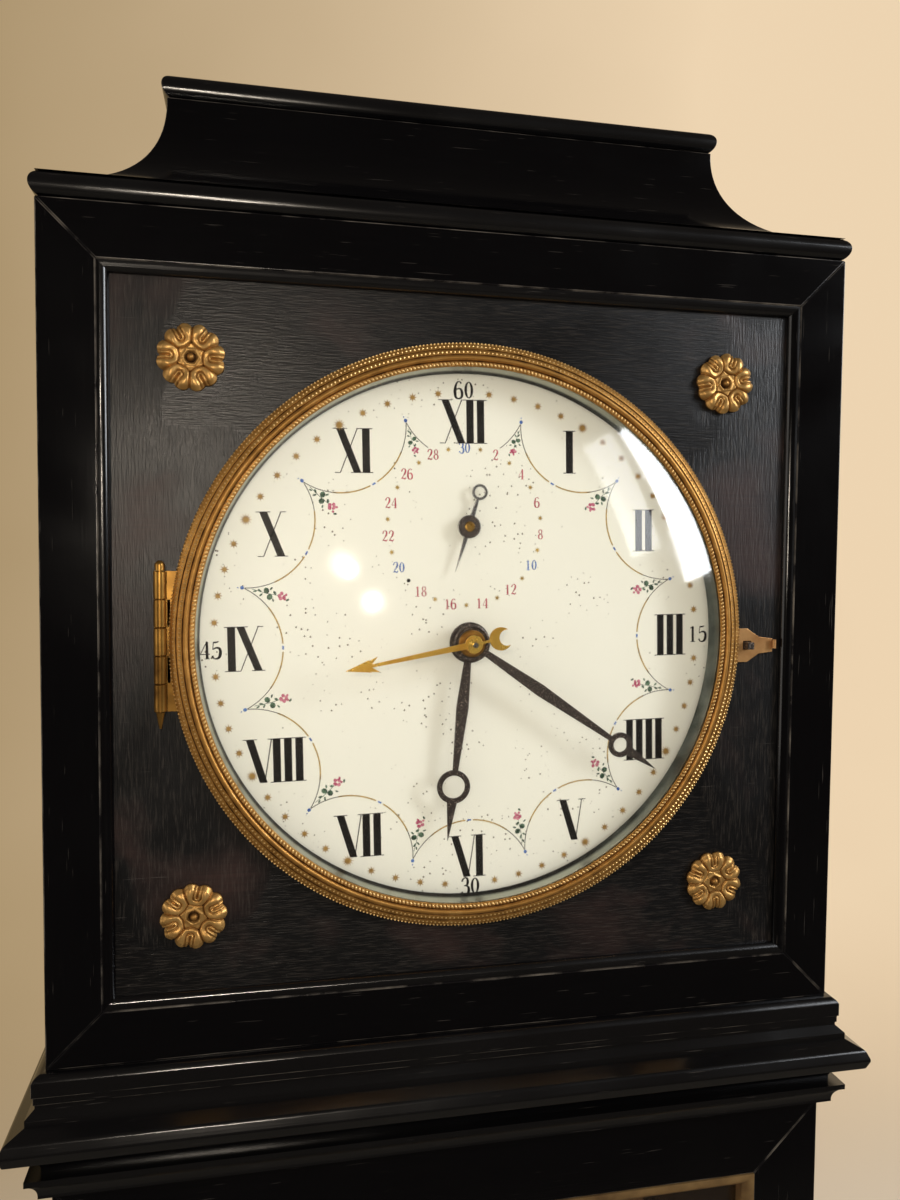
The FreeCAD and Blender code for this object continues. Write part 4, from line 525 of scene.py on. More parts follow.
def roll_round(bm, made, count, crest_height_mm):
    """Marks the crest of one small form and copies it all round the ring."""
    crest = bezel_axis.y - crest_height_mm * MM
    for vert in made:
        vert[relief] = 1.0 if vert.co.y <= crest else 0.3
    copy_round(bm, made, count, bezel_axis)


def band_point(radius_mm, height_mm, lean_deg):
    """Where a rolled form stands: its own Z leans out from the ring's face."""
    lean = Matrix.Rotation(math.radians(lean_deg), 4, "Y")
    return Matrix.Translation(on_ring(radius_mm, height_mm)) @ FACING @ lean


milled = cone(bezel, 4, 1.05, 0.25, 1.1, band_point(162.1, 2.9, 55))
roll_round(bezel, milled, 500, 3.2)
for radius, height, count in ((160.3, 4.45, 430), (157.0, 6.3, 420)):
    point = cone(bezel, 4, 1.12, 0.1, 0.7, band_point(radius, height, 32))
    roll_round(bezel, point, count, height + 0.1)
slant = Matrix.Rotation(math.radians(38), 4, "Z") @ Matrix.Diagonal((1.3, 0.78, 0.95, 1))
rope_bead = bmesh.ops.create_uvsphere(bezel, u_segments=8, v_segments=5, radius=1.0 * MM,
                                      matrix=band_point(150.4, 6.5, -12) @ slant)["verts"]
for vert in rope_bead:
    for face in vert.link_faces:
        face.smooth = True
roll_round(bezel, rope_bead, 440, 6.7)
bezel_piece = set_piece("bezel_ring_chased", bezel, "bezel", "gilt_bronze", bezel_gilt)
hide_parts("bezel_ring")
keep_flats_flat(bezel_piece)
print("bezel faces:", len(bezel_piece.data.polygons))

# %% [markdown]
# ## The corner rosettes
# Each rosette is a cast flower: six heart-shaped petals, each folded down its middle, a star-shaped
# calyx and a small round boss. It is low relief, so a disc of many rings is raised by
# a height for each angle and radius, as a chaser would read the pattern.

# %% Relief of a rosette
ROSETTE_RADIUS, PETAL_RISE = 17.5, 5.0
SECTOR = math.radians(60)
OUTLINE = ((0, 0.9), (0.12, 0.95), (0.3, 0.985), (0.48, 1.0), (0.7, 0.985), (0.86, 0.94), (1.0, 0.88))


def bell(value, middle, width):
    return math.exp(-((value - middle) / width) ** 2)


def ramp(value, start, end):
    return max(0, min(1, (value - start) / (end - start)))


def from_petal_middle(angle):
    return abs((angle + SECTOR / 2) % SECTOR - SECTOR / 2)


def edge_radius(across):
    """The flower's outline: across is 0 on a petal's middle and 1 between two petals."""
    for (a, low), (b, high) in zip(OUTLINE, OUTLINE[1:]):
        if across <= b:
            return low + (high - low) * (across - a) / (b - a)
    return OUTLINE[-1][1]


def rosette_relief(share, angle):
    """Height in mm and a 0 to 1 crest value at a share of the radius."""
    offset = from_petal_middle(angle)
    fold = math.hypot(share * math.sin(offset), max(0, 0.62 - share))
    parting = share * math.sin(SECTOR / 2 - offset)
    star = 0.32 + 0.1 * (offset / (SECTOR / 2)) ** 2
    outside = ramp(share, star, star + 0.05)
    body = 0.52 + 0.3 * bell(share, 0.7, 0.26) - 0.24 * ramp(share, 0.86, 1.0)
    lobe = 0.12 * bell(fold, 0.24, 0.1) - 0.3 * bell(fold, 0, 0.03) + 0.1 * bell(fold, 0.065, 0.024)
    line = 0.16 * bell(fold, 0.115, 0.02)
    groove = 0.34 * bell(parting, 0, 0.028)
    height = body + outside * (lobe - line - groove)
    crest = 0.78 + outside * (lobe - 3.2 * line - 1.5 * groove)
    border = 0.22 * bell(share, star + 0.02, 0.022)
    height -= border
    crest -= 2.6 * border
    hexagon = 0.21 / math.cos(SECTOR / 2 - offset)
    height += 0.12 * bell(share, hexagon, 0.035)
    if share < 0.18:
        sunk = ramp(share, 0.18, 0.145)
        height -= 0.25 * sunk
        crest -= 0.75 * sunk
    if share < 0.13:
        dome = math.sqrt(1 - (share / 0.13) ** 2)
        height = 0.4 + 0.55 * dome
        crest = 0.1 + 0.6 * dome ** 4
    return PETAL_RISE * max(height, 0.12), max(0, min(1, crest))


print("relief beside a petal's fold, mm:", round(rosette_relief(0.7, SECTOR / 4)[0], 2))

# %% Four rosettes
def verts_in(geom):
    return [v for v in geom if isinstance(v, bmesh.types.BMVert)]


rosette_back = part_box("corner_rosettes")[1].y
SPOKES, RINGS = 168, 44
for index, (x, z) in enumerate((x, z) for x in (-150.5, 150.5) for z in (-147.4, 147.4)):
    flower = bmesh.new()
    relief = flower.verts.layers.float.new("relief")
    bmesh.ops.create_circle(flower, cap_ends=True, segments=SPOKES, radius=1.0)
    flower.faces.ensure_lookup_table()
    for ring in range(RINGS):
        middle = [f for f in flower.faces if len(f.verts) == SPOKES]
        bmesh.ops.inset_region(flower, faces=middle, thickness=0.985 / RINGS, use_even_offset=True,
                               use_boundary=True)
    bmesh.ops.poke(flower, faces=[f for f in flower.faces if len(f.verts) == SPOKES])
    rim = [e for e in flower.edges if e.is_boundary]
    turned_by = math.radians(-20 + 23 * index)
    for vert in flower.verts:
        share, angle = min(1, vert.co.xy.length), math.atan2(vert.co.y, vert.co.x)
        height, vert[relief] = rosette_relief(share, angle + turned_by)
        across = from_petal_middle(angle + turned_by) / (SECTOR / 2)
        reach = ROSETTE_RADIUS * share * (1 - (1 - edge_radius(across)) * share ** 3)
        vert.co = Vector((math.cos(angle) * reach, math.sin(angle) * reach, height))
    wall = bmesh.ops.extrude_edge_only(flower, edges=rim)["geom"]
    for vert in verts_in(wall):
        vert.co.z = 0
        vert[relief] = 0
    bmesh.ops.contextual_create(flower, geom=[e for e in flower.edges if e.is_boundary])
    place = Matrix.Translation((x * MM, rosette_back, bezel_axis.z + z * MM))
    to_size = Matrix.Diagonal((MM, MM, MM, 1))
    bmesh.ops.transform(flower, matrix=place @ FACING @ to_size, verts=flower.verts)
    face_out(flower)
    for face in flower.faces:
        face.smooth = len(face.verts) <= 4
    rosette = set_piece(f"rosette_{index + 1}", flower, "hood", "gilt_bronze", rosette_gilt)
    if index == 0:
        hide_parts("corner_rosettes")
print("rosettes: 4, faces each", len(rosette.data.polygons))

# %% [markdown]
# ## Brass, steel and iron
# Clock brass is grained with a stick of stone and lacquered, so it has fine lines and a soft gleam.
# Steel is polished, the hour and minute hands are blackened and have gone matt with tiny rust specks,
# and the bracket is a painted casting. The sight ring behind the glass is silvered brass with cloudy
# tarnish; its colour also carries painted shade, near black towards the dial except at the right.

# %% Metals
def grained_metal(name, colours, roughness, line_mm, bare=1.0):
    """A metal with fine lines and cloudy tarnish; bare is 1 where no matt film covers it."""
    material, tree, shader, spot = start_finish(name, {"Metallic": bare})
    lines = add(tree, "Mapping", {"Vector": spot, "Scale": (per(line_mm), per(line_mm), per(line_mm * 30))})
    stoned = add(tree, "TexNoise", {"Vector": lines, "Scale": 1, "Detail": 3})
    cloud = add(tree, "TexNoise", {"Vector": spot, "Scale": per(14), "Detail": 5})
    dimmed = add(tree, "MapRange", {"Value": cloud, "From Min": 0.3, "From Max": 0.72})
    colour = add(tree, "Mix", {0: dimmed, 6: colours[0], 7: colours[1]}, **COLOUR)
    gleam = add(tree, "MapRange", {"Value": cloud, "To Min": roughness - 0.08, "To Max": roughness + 0.12})
    bump = add(tree, "Bump", {"Height": stoned, "Strength": 0.08, "Distance": 0.05 * MM})
    feed(shader, {"Base Color": colour, "Roughness": gleam, "Normal": bump})
    return material


brass = grained_metal("lacquered_brass", ("#d9ae5c", "#9a7030"), 0.26, 0.5)
old_brass = grained_metal("stained_brass", ("#b98a42", "#5c3d18"), 0.34, 0.6, 0.9)
red_brass = grained_metal("bare_brass_lug", ("#dcaa70", "#a57444"), 0.4, 0.6, 0.7)
steel = grained_metal("polished_steel", ("#c3c4c6", "#85868a"), 0.22, 0.4)
silvered = grained_metal("dull_silvered_brass", ("#767c79", "#3c4240"), 0.3, 0.4)
bright_gilt = grained_metal("burnished_gilt", ("#f6cd62", "#cf9c3e"), 0.26, 0.5, 0.75)
dull_gilt = grained_metal("dull_gilt_strip", ("#b08d5c", "#75593a"), 0.42, 0.5, 0.7)
print("metals:", brass.name, old_brass.name, red_brass.name, steel.name, bright_gilt.name, dull_gilt.name)

# %% Sight ring
# The silvering is pale by the glass. Towards the dial its colour is painted nearly black as the shade in
# the gap there, except at the right, where the ring's inner wall faces the viewer and stays plain grey
# silvering.
ring_low, ring_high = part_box("bezel_sight_ring")
tree = silvered.node_tree
ring_shader = tree.nodes["Principled BSDF"]
tarnish = ring_shader.inputs["Base Color"].links[0].from_socket
place = add(tree, "SeparateXYZ", {0: add(tree, "TexCoord", {}, "Object")}).node.outputs
gap_shadow = add(tree, "MapRange", {"Value": place["Y"], "From Min": ring_low.y * 0.6 + ring_high.y * 0.4,
                             "From Max": ring_low.y * 0.35 + ring_high.y * 0.65})
shaded = add(tree, "Mix", {0: gap_shadow, 6: "#a9ada3", 7: "#0b0b0a"}, **COLOUR)
rightward = add(tree, "MapRange", {"Value": place["X"], "From Min": 0.06, "From Max": 0.13})
ring_colour = add(tree, "Mix", {0: rightward, 6: shaded, 7: tarnish}, **COLOUR)
feed(ring_shader, {"Base Color": ring_colour})
print("sight ring finish:", silvered.name)

# %% Blackened steel and painted iron
def dark_metal(name, ground, fleck, fleck_mm, roughness):
    """Matt black with small lighter flecks."""
    material, tree, shader, spot = start_finish(name, {"Metallic": 0.35, "Roughness": roughness})
    grains = add(tree, "TexNoise", {"Vector": spot, "Scale": per(fleck_mm), "Detail": 3})
    flecks = add(tree, "MapRange", {"Value": grains, "From Min": 0.55, "From Max": 0.7})
    colour = add(tree, "Mix", {0: flecks, 6: ground, 7: fleck}, **COLOUR)
    bump = add(tree, "Bump", {"Height": grains, "Strength": 0.4, "Distance": 0.08 * MM})
    feed(shader, {"Base Color": colour, "Normal": bump})
    return material


# The real specks are about 0.3 mm; 0.9 mm shows in the render.
black_steel = dark_metal("blackened_steel", "#312a26", "#8b7e75", 0.9, 0.42)
painted_iron = dark_metal("painted_iron", "#17171a", "#2c2b2b", 2.5, 0.42)
print("dark metals:", black_steel.name, painted_iron.name)

# %% [markdown]
# ## Fittings and the movement
# These solids already have their shape, so each takes a softened copy and its metal.

# %% Fittings
for node, arris, metal in (
        ("bezel_hinge_pin", 0.0, old_brass), ("bezel_latch_lug", 0.35, red_brass),
        ("bezel_catch_stud", 0.4, black_steel), ("bezel_sight_ring", 0.2, silvered),
        ("trunk_hinge_moving_leaves", 0.3, brass), ("trunk_hinge_fixed_leaves", 0.0, brass),
        ("trunk_door_key_plate", 0.4, bright_gilt), ("trunk_door_trim", 0.3, dull_gilt),
        ("hour_hand", 0.3, black_steel), ("minute_hand", 0.3, black_steel), ("date_hand", 0.25, steel),
        ("seconds_hand", 0.3, bright_gilt), ("movement_front_plate", 0.4, brass),
        ("movement_back_plate", 0.4, brass), ("plate_pillars", 0.3, brass),
        ("movement_bracket", 0.8, painted_iron), ("bracket_bolts", 0.5, steel),
        ("pendulum_rod", 0.3, steel), ("pendulum_bob", 0.0, brass), ("rating_nut", 0.4, brass),
        ("driving_weight", 0.0, brass), ("counterweight", 0.0, brass), ("pallet_anchor", 0.2, steel),
        ("suspension_spring", 0.0, steel)):
    from_solid(node, arris, metal)
print("fittings done")

# %% [markdown]
# ## The bezel's hinge
# Five knuckles turn on one pin. Three belong to the hood and two to a thin leaf behind the bezel's edge.
# A knuckle is a section spun about the pin, with a small chamfer that draws the dark line between two.

# %% Knuckles and leaves
hinge_low, hinge_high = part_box("bezel_hinge_fixed_leaf")
pin_low, pin_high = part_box("bezel_hinge_pin")
pin_axis = Vector(((pin_low.x + pin_high.x) / 2, (pin_low.y + pin_high.y) / 2, 0))
KNUCKLE = (hinge_high.z - hinge_low.z) / 5


def knuckle(bm, index):
    low = hinge_low.z + KNUCKLE * index + 0.15 * MM
    high = low + KNUCKLE - 0.3 * MM
    bore, wall, chamfer = 1.45 * MM, 3.2 * MM, 0.35 * MM
    section = ((bore, low), (wall - chamfer, low), (wall, low + chamfer), (wall, high - chamfer),
               (wall - chamfer, high), (bore, high))
    spin_section(bm, [pin_axis + Vector((r, 0, z)) for r, z in section], pin_axis, AXIS_Z, 32)


def plate(bm, low, high):
    """A thin plate between two corners."""
    middle, size = (low + high) / 2, high - low
    bmesh.ops.create_cube(bm, size=1.0, matrix=Matrix.Translation(middle) @ Matrix.Diagonal((*size, 1)))


fixed_leaf, moving_leaf = bmesh.new(), bmesh.new()
leaf_front, leaf_back = bezel_axis.y - 3.0 * MM, bezel_axis.y - 1.6 * MM
for index in range(5):
    foot = hinge_low.z + KNUCKLE * index + 0.3 * MM
    top = foot + KNUCKLE - 0.6 * MM
    if index % 2:
        knuckle(moving_leaf, index)
        plate(moving_leaf, Vector((pin_axis.x + 1.5 * MM, leaf_front, foot)),
              Vector((pin_axis.x + 5 * MM, leaf_back, top)))
    else:
        knuckle(fixed_leaf, index)
        plate(fixed_leaf, Vector((hinge_low.x + 0.8 * MM, pin_axis.y, foot)),
              Vector((hinge_high.x - 0.8 * MM, hinge_high.y - 0.5 * MM, top)))
plate(fixed_leaf, Vector((hinge_low.x, hinge_high.y - 1.0 * MM, hinge_low.z)), hinge_high)
plate(moving_leaf, Vector((pin_axis.x + 3.5 * MM, leaf_front, hinge_low.z)),
      Vector((-152 * MM, leaf_back, hinge_high.z)))
for kind, bm, body in (("fixed", fixed_leaf, "hood"), ("moving", moving_leaf, "bezel")):
    shade(bm)
    leaf = set_piece(f"bezel_hinge_{kind}_knuckles", bm, body, "brass", old_brass)
    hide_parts(f"bezel_hinge_{kind}_leaf")
print("knuckle length mm:", round(KNUCKLE / MM, 2))

# %% [markdown]
# ## Wheels
# A wheel is brass on a steel arbor: faces near the arbor's axis take the steel.

# %% Wheels on their arbors
ARBOR_REACH = 5.5 * MM
for node in ("escape_wheel", "third_wheel", "hour_arbor", "great_wheel", "minute_idler", "cannon_wheel",
             "hour_wheel", "date_idler", "date_wheel"):
    axle = sum(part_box(node), Vector()) / 2
    from_solid(node, 0.0, brass, steel,
               second=lambda p: math.hypot(p.x - axle.x, p.z - axle.z) < ARBOR_REACH)
print("wheels done")

# %% [markdown]
# ## Glass
# The domed glass is a blown disc, thin and clear, and the trunk door has a flat pane.
# The dome must be truly smooth or its reflections break up, so its section is drawn as two arcs and spun.
# Lamps shine straight through it to the dial, so the shader lets shadow rays pass.

# %% Clear glass
clear_glass, tree, shader, spot = start_finish("clear_glass", {
    "Base Color": "#fcfbf9", "IOR": 1.5, "Transmission Weight": 1.0})
smear = add(tree, "TexNoise", {"Vector": spot, "Scale": per(40), "Detail": 4})
haze = add(tree, "MapRange", {"Value": smear, "From Min": 0.3, "From Max": 0.8, "To Min": 0.04,
                              "To Max": 0.09})
feed(shader, {"Roughness": haze})
way = add(tree, "LightPath", {}).node.outputs
lamp_rays = add(tree, "Math", {0: way["Is Shadow Ray"], 1: way["Is Diffuse Ray"]}, operation="MAXIMUM")
passing = add(tree, "BsdfTransparent", {"Color": "#fcfbf9"})
seen = add(tree, "MixShader", {0: lamp_rays, 1: shader.outputs[0], 2: passing})
feed(tree.nodes["Material Output"], {"Surface": seen})
print("glass finish:", clear_glass.name)

# %% Domed glass
DOME_REACH, DOME_RISE, DOME_EDGE, GLASS_THICK = 151.2, 26.4, 4.5, 2.5
DOME_RADIUS = (DOME_REACH ** 2 + DOME_RISE ** 2) / (2 * DOME_RISE)
ARC_STEPS = 36


def dome_height(out, thickness):
    """Height of the dome's surface above the bezel's back at a distance from the axis."""
    return DOME_EDGE + DOME_RISE - DOME_RADIUS + math.sqrt(DOME_RADIUS ** 2 - out ** 2) - thickness


outs = [DOME_REACH * step / ARC_STEPS for step in range(ARC_STEPS + 1)]
section = [on_ring(out, dome_height(out, 0)) for out in outs]
section += [on_ring(out, dome_height(out, GLASS_THICK)) for out in reversed(outs)]
dome = bmesh.new()
spin_section(dome, section, bezel_axis, AXIS_Y, 160)
bmesh.ops.remove_doubles(dome, verts=dome.verts, dist=0.01 * MM)
bmesh.ops.delete(dome, geom=[e for e in dome.edges if not e.link_faces], context="EDGES")
face_out(dome)
shade(dome)
dome_piece = set_piece("domed_glass", dome, "bezel", "clear_glass", clear_glass)
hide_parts("bezel_glass")
from_solid("trunk_door_glass", 0.2, clear_glass)
print("dome radius", round(DOME_RADIUS, 1), "mm, faces", len(dome_piece.data.polygons))

# %% [markdown]
# ## The enamel dial
# The dial is copper with white glass fired on it, cream with age and peppered with tiny dark specks
# from the kiln. It stays the CAD disc, because its shape is right. Age has softened its gloss, so it is
# the glass before it that shines.

# %% Enamel
enamel, tree, shader, spot = start_finish("vitreous_enamel", {"IOR": 1.5, "Specular IOR Level": 0.3})
milk = add(tree, "TexNoise", {"Vector": spot, "Scale": per(60), "Detail": 4})
cream = add(tree, "Mix", {0: milk, 6: "#f2f3e6", 7: "#f7f8ee"}, **COLOUR)
flat = add(tree, "Mapping", {"Vector": spot, "Rotation": (math.radians(90), 0, 0)})
pepper = add(tree, "TexVoronoi", {"Vector": flat, "Scale": per(6)}, "Distance", voronoi_dimensions="2D")
kiln = add(tree, "TexNoise", {"Vector": spot, "Scale": per(24), "Detail": 3})
size = add(tree, "MapRange", {"Value": kiln, "From Min": 0.45, "From Max": 0.64, "To Max": 0.085})
speck = add(tree, "Math", {0: pepper, 1: size}, operation="LESS_THAN")
specked = add(tree, "Mix", {0: speck, 6: cream, 7: "#6a6252"}, **COLOUR)
glaze = add(tree, "MapRange", {"Value": milk, "To Min": 0.36, "To Max": 0.46})
feed(shader, {"Base Color": specked, "Roughness": glaze})
nodes["dial"].data.materials.clear()
nodes["dial"].data.materials.append(enamel)
print("dial finish:", enamel.name)

# %% [markdown]
# ## Painted marks
# The figures are ground glass paint fired onto the enamel, so each stands a hair proud of it.
# Paints are laid by hand and vary in strength, so each has a little noise in its colour.

# %% Dial paints
def dial_paint(name, thin, full, roughness):
    material, tree, shader, spot = start_finish(name, {"Roughness": roughness, "Specular IOR Level": 0.25})
    load = add(tree, "TexNoise", {"Vector": spot, "Scale": per(1.6), "Detail": 3})
    even = add(tree, "MapRange", {"Value": load, "From Min": 0.35, "From Max": 0.65})
    colour = add(tree, "Mix", {0: even, 6: thin, 7: full}, **COLOUR)
    feed(shader, {"Base Color": colour})
    return material


black_paint = dial_paint("black_figure_paint", "#171412", "#0b0a09", 0.4)
gold_paint = dial_paint("gold_star_paint", "#b39050", "#8f6d34", 0.4)
line_gold = dial_paint("gold_line_paint", "#c2a352", "#8f7436", 0.38)
blue_paint = dial_paint("blue_paint", "#5f86c8", "#2c4f9c", 0.35)
red_paint = dial_paint("red_paint", "#c8606c", "#a03a4a", 0.35)
green_paint = dial_paint("green_leaf_paint", "#5d7a62", "#20362a", 0.4)
pink_paint = dial_paint("pink_rose_paint", "#d48a9c", "#a83a5e", 0.4)
print("dial paints: 7")

# %% Where marks go
PAINT_RISE = 0.08 * MM
DIAL_ROLL = math.radians(1.29)
dial_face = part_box("dial")[0].y
DIAL_Z = 1.680
face_of_dial = Matrix.Translation((0, dial_face, DIAL_Z)) @ FACING @ Matrix.Rotation(DIAL_ROLL, 4, "Z")


def at(u_mm, v_mm, turn=0.0, origin=face_of_dial):
    """A place on the dial: u to the right, v up, turned anticlockwise."""
    return origin @ Matrix.Translation((u_mm * MM, v_mm * MM, 0)) @ Matrix.Rotation(turn, 4, "Z")


def clock_place(angle_deg, radius_mm, inward=False, origin=face_of_dial):
    """A place at a clock angle and radius; inward turns its up side towards the centre."""
    angle = math.radians(angle_deg)
    turn = math.pi - angle if inward else 0.0
    return at(radius_mm * math.sin(angle), radius_mm * math.cos(angle), turn, origin)


def dab(bm, place, width_mm, height_mm, sides=10):
    """One touch of the brush: a low oval. Gives back its points."""
    shape = Matrix.Diagonal((width_mm / 2, height_mm / 2, PAINT_RISE / MM, 1))
    return cone(bm, sides, 1.0, 0.8, 1.0, place @ Matrix.Translation((0, 0, PAINT_RISE / 2)) @ shape)


def stroke(bm, place, low_x, high_x, low, high, width):
    """A straight stroke with level ends, as wide as given along the line of writing."""
    leaning = Matrix(((width, high_x - low_x, 0, (low_x + high_x) / 2),
                      (0, high - low, 0, (low + high) / 2), (0, 0, 1, 0), (0, 0, 0, 1)))
    scale = Matrix.Diagonal((MM, MM, PAINT_RISE, 1))
    bmesh.ops.create_cube(bm, size=1.0, matrix=place @ scale @ leaning)


def fire_on(name, bm, finish):
    """Marks on the dial stay with the case."""
    return set_piece(name, bm, "case", "enamel", finish)


print("marks stand", PAINT_RISE / MM, "mm proud of y", round(dial_face, 4))

# %% [markdown]
# ## Roman hours
# The hour figures are tall and upright, with thick black stems and hairline joins.
# Each letter is a few straight strokes: a stem is a box, and a leaning stem is the same box sheared,
# which keeps its ends level as a signwriter's are.

# %% Roman letters
HALF, HAIR, THICK = 12.0, 0.45, 4.2


def serif(bm, place, x, end, width):
    stroke(bm, place, x, x, end - HAIR / 2, end + HAIR / 2, width)


def letter_i(bm, place, x):
    stroke(bm, place, x, x, -HALF, HALF, THICK)
    for end in (-HALF, HALF):
        serif(bm, place, x, end, THICK + 3.2)


def letter_v(bm, place, x, width):
    stroke(bm, place, x + width * 0.42, x - width * 0.24, -HALF, HALF, THICK)
    stroke(bm, place, x + width * 0.48, x + width * 0.86, -HALF, HALF, HAIR * 1.3)
    serif(bm, place, x - width * 0.24, HALF, THICK + 3.4)
    serif(bm, place, x + width * 0.88, HALF, 4.4)


def letter_x(bm, place, x, width):
    stroke(bm, place, x + width * 0.4, x - width * 0.4, -HALF, HALF, THICK)
    stroke(bm, place, x - width * 0.42, x + width * 0.42, -HALF, HALF, HAIR * 1.3)
    for end, middle, long in ((HALF, -0.4, THICK + 3.6), (-HALF, 0.4, THICK + 3.0),
                              (HALF, 0.52, 3.2), (-HALF, -0.55, 3.2)):
        serif(bm, place, x + width * middle, end, long)


print("letters are", 2 * HALF, "mm tall")

# %% Hour figures
HOUR_RADIUS = 124
ADVANCE = {"I": 6.1, "V": 11.5, "X": 13.0}
HOURS = ("XII", "I", "II", "III", "IIII", "V", "VI", "VII", "VIII", "IX", "X", "XI")
figures = bmesh.new()
for hour, word in enumerate(HOURS):
    place = clock_place(hour * 30, HOUR_RADIUS)
    cursor = -sum(ADVANCE[letter] for letter in word) / 2
    for letter in word:
        middle = cursor + ADVANCE[letter] / 2
        if letter == "I":
            letter_i(figures, place, middle)
        elif letter == "V":
            letter_v(figures, place, middle - 3.0, 10.5)
        else:
            letter_x(figures, place, middle, 11.5)
        cursor += ADVANCE[letter]
hour_figures = fire_on("hour_figures", figures, black_paint)
print("hour figure faces:", len(hour_figures.data.polygons))

# %% [markdown]
# ## Arabic figures
# The minutes and the dates are written with a brush: thin where the brush moves sideways, thick where
# it comes down. A curve with a radius at each point is just such a stroke. It is turned into a mesh,
# pressed nearly flat and laid on the dial.

# %% Brush strokes of each figure
def oval(x, y, wide, tall, thick):
    """A closed round stroke, thick at its sides."""
    points = []
    for step in range(13):
        angle = math.radians(90 + step * 30)
        points.append((x + wide * math.cos(angle), y + tall * math.sin(angle),
                       0.022 + (thick - 0.022) * abs(math.cos(angle)) ** 1.5))
    return points


FIGURE_STROKES = {
    "0": [oval(0.27, 0.5, 0.2, 0.47, 0.075)],
    "1": [[(0.27, 0.02, 0.07), (0.27, 0.5, 0.07), (0.27, 0.97, 0.065)],
          [(0.27, 0.95, 0.02), (0.18, 0.88, 0.03), (0.1, 0.84, 0.025)],
          [(0.1, 0.01, 0.018), (0.27, 0.01, 0.018), (0.44, 0.01, 0.018)]],
    "2": [[(0.08, 0.72, 0.06), (0.1, 0.9, 0.045), (0.27, 1.02, 0.025), (0.48, 0.92, 0.06),
           (0.44, 0.6, 0.085), (0.28, 0.36, 0.04), (0.08, 0.1, 0.025), (0.05, 0.03, 0.025)],
          [(0.05, 0.04, 0.03), (0.2, 0.12, 0.05), (0.36, 0.02, 0.06), (0.48, 0.04, 0.04),
           (0.5, 0.2, 0.02)]],
    "3": [[(0.08, 0.8, 0.055), (0.14, 1.0, 0.03), (0.42, 1.04, 0.05), (0.46, 0.68, 0.085),
           (0.36, 0.54, 0.04), (0.2, 0.54, 0.022)],
          [(0.2, 0.54, 0.022), (0.42, 0.56, 0.04), (0.54, 0.3, 0.09), (0.42, -0.04, 0.06),
           (0.14, -0.02, 0.025), (0.06, 0.18, 0.06)]],
    "4": [[(0.4, 0.98, 0.02), (0.2, 0.62, 0.022), (0.02, 0.28, 0.022)],
          [(0.02, 0.27, 0.022), (0.3, 0.27, 0.022), (0.56, 0.27, 0.022)],
          [(0.4, 0.02, 0.07), (0.4, 0.5, 0.07), (0.4, 0.97, 0.06)],
          [(0.26, 0.01, 0.018), (0.4, 0.01, 0.018), (0.54, 0.01, 0.018)]],
    "5": [[(0.13, 0.95, 0.025), (0.11, 0.75, 0.022), (0.09, 0.52, 0.022)],
          [(0.12, 0.93, 0.03), (0.28, 0.9, 0.055), (0.44, 0.98, 0.02)],
          [(0.09, 0.52, 0.022), (0.26, 0.66, 0.04), (0.54, 0.56, 0.07), (0.5, 0.1, 0.085),
           (0.3, -0.02, 0.035), (0.1, 0.02, 0.03), (0.06, 0.18, 0.055)]],
    "6": [[(0.44, 0.86, 0.05), (0.38, 1.0, 0.025), (0.16, 0.96, 0.035), (0.04, 0.55, 0.085),
           (0.06, 0.08, 0.075), (0.26, -0.04, 0.025), (0.5, 0.08, 0.07), (0.48, 0.5, 0.075),
           (0.26, 0.62, 0.025), (0.08, 0.48, 0.03)]],
    "8": [oval(0.27, 0.75, 0.16, 0.22, 0.055), oval(0.27, 0.27, 0.2, 0.25, 0.07)],
}
print("figures drawn:", "".join(FIGURE_STROKES))

# %% Writing a number
FIGURE_BREADTH, FIGURE_WEIGHT, FIGURE_SPACING = 0.96, 1.14, 0.64


def brush_number(bm, text, height_mm, place):
    """Writes a number centred on a place."""
    curve = bpy.data.curves.new("brush", "CURVE")
    curve.dimensions = "3D"
    curve.bevel_depth = 1.0
    curve.bevel_resolution = 1
    curve.resolution_u = 3
    curve.use_fill_caps = True
    shift = (FIGURE_SPACING * (len(text) - 1) + 0.54) / 2
    for index, figure in enumerate(text):
        for points in FIGURE_STROKES[figure]:
            spline = curve.splines.new("NURBS")
            spline.points.add(len(points) - 1)
            for point, (x, y, half) in zip(spline.points, points):
                point.co = (x + index * FIGURE_SPACING - shift, y - 0.5, 0, 1)
                point.radius = half * FIGURE_WEIGHT
            spline.order_u = 3
            spline.use_endpoint_u = True
    holder = bpy.data.objects.new("brush", curve)
    flat = bpy.data.meshes.new_from_object(holder)
    press = Matrix.Diagonal((height_mm * FIGURE_BREADTH * MM, height_mm * MM, PAINT_RISE / 0.12, 1))
    flat.transform(place @ press)
    bm.from_mesh(flat)
    bpy.data.objects.remove(holder)
    bpy.data.curves.remove(curve)
    bpy.data.meshes.remove(flat)


print("figures are", FIGURE_SPACING, "of their height apart")

# %% Minutes and dates
QUARTER_RADIUS = 141.6
quarters = bmesh.new()
for angle, text in ((0, "60"), (90, "15"), (180, "30"), (270, "45")):
    brush_number(quarters, text, 9.6, clock_place(angle, QUARTER_RADIUS))
minute_figures = fire_on("minute_figures", quarters, black_paint)

DATE_RISE, DATE_RADIUS = 65, 44.4
date_circle = at(0, DATE_RISE)
red_dates, blue_dates = bmesh.new(), bmesh.new()
for index in range(15):
    spot = clock_place(index * 24, DATE_RADIUS, origin=date_circle)
    brush_number(blue_dates if index % 5 == 0 else red_dates, str(2 * index or 30), 5.8, spot)
red_piece = fire_on("red_date_figures", red_dates, red_paint)
blue_piece = fire_on("blue_date_figures", blue_dates, blue_paint)
print("figure faces:", [len(p.data.polygons) for p in (minute_figures, red_piece, blue_piece)])

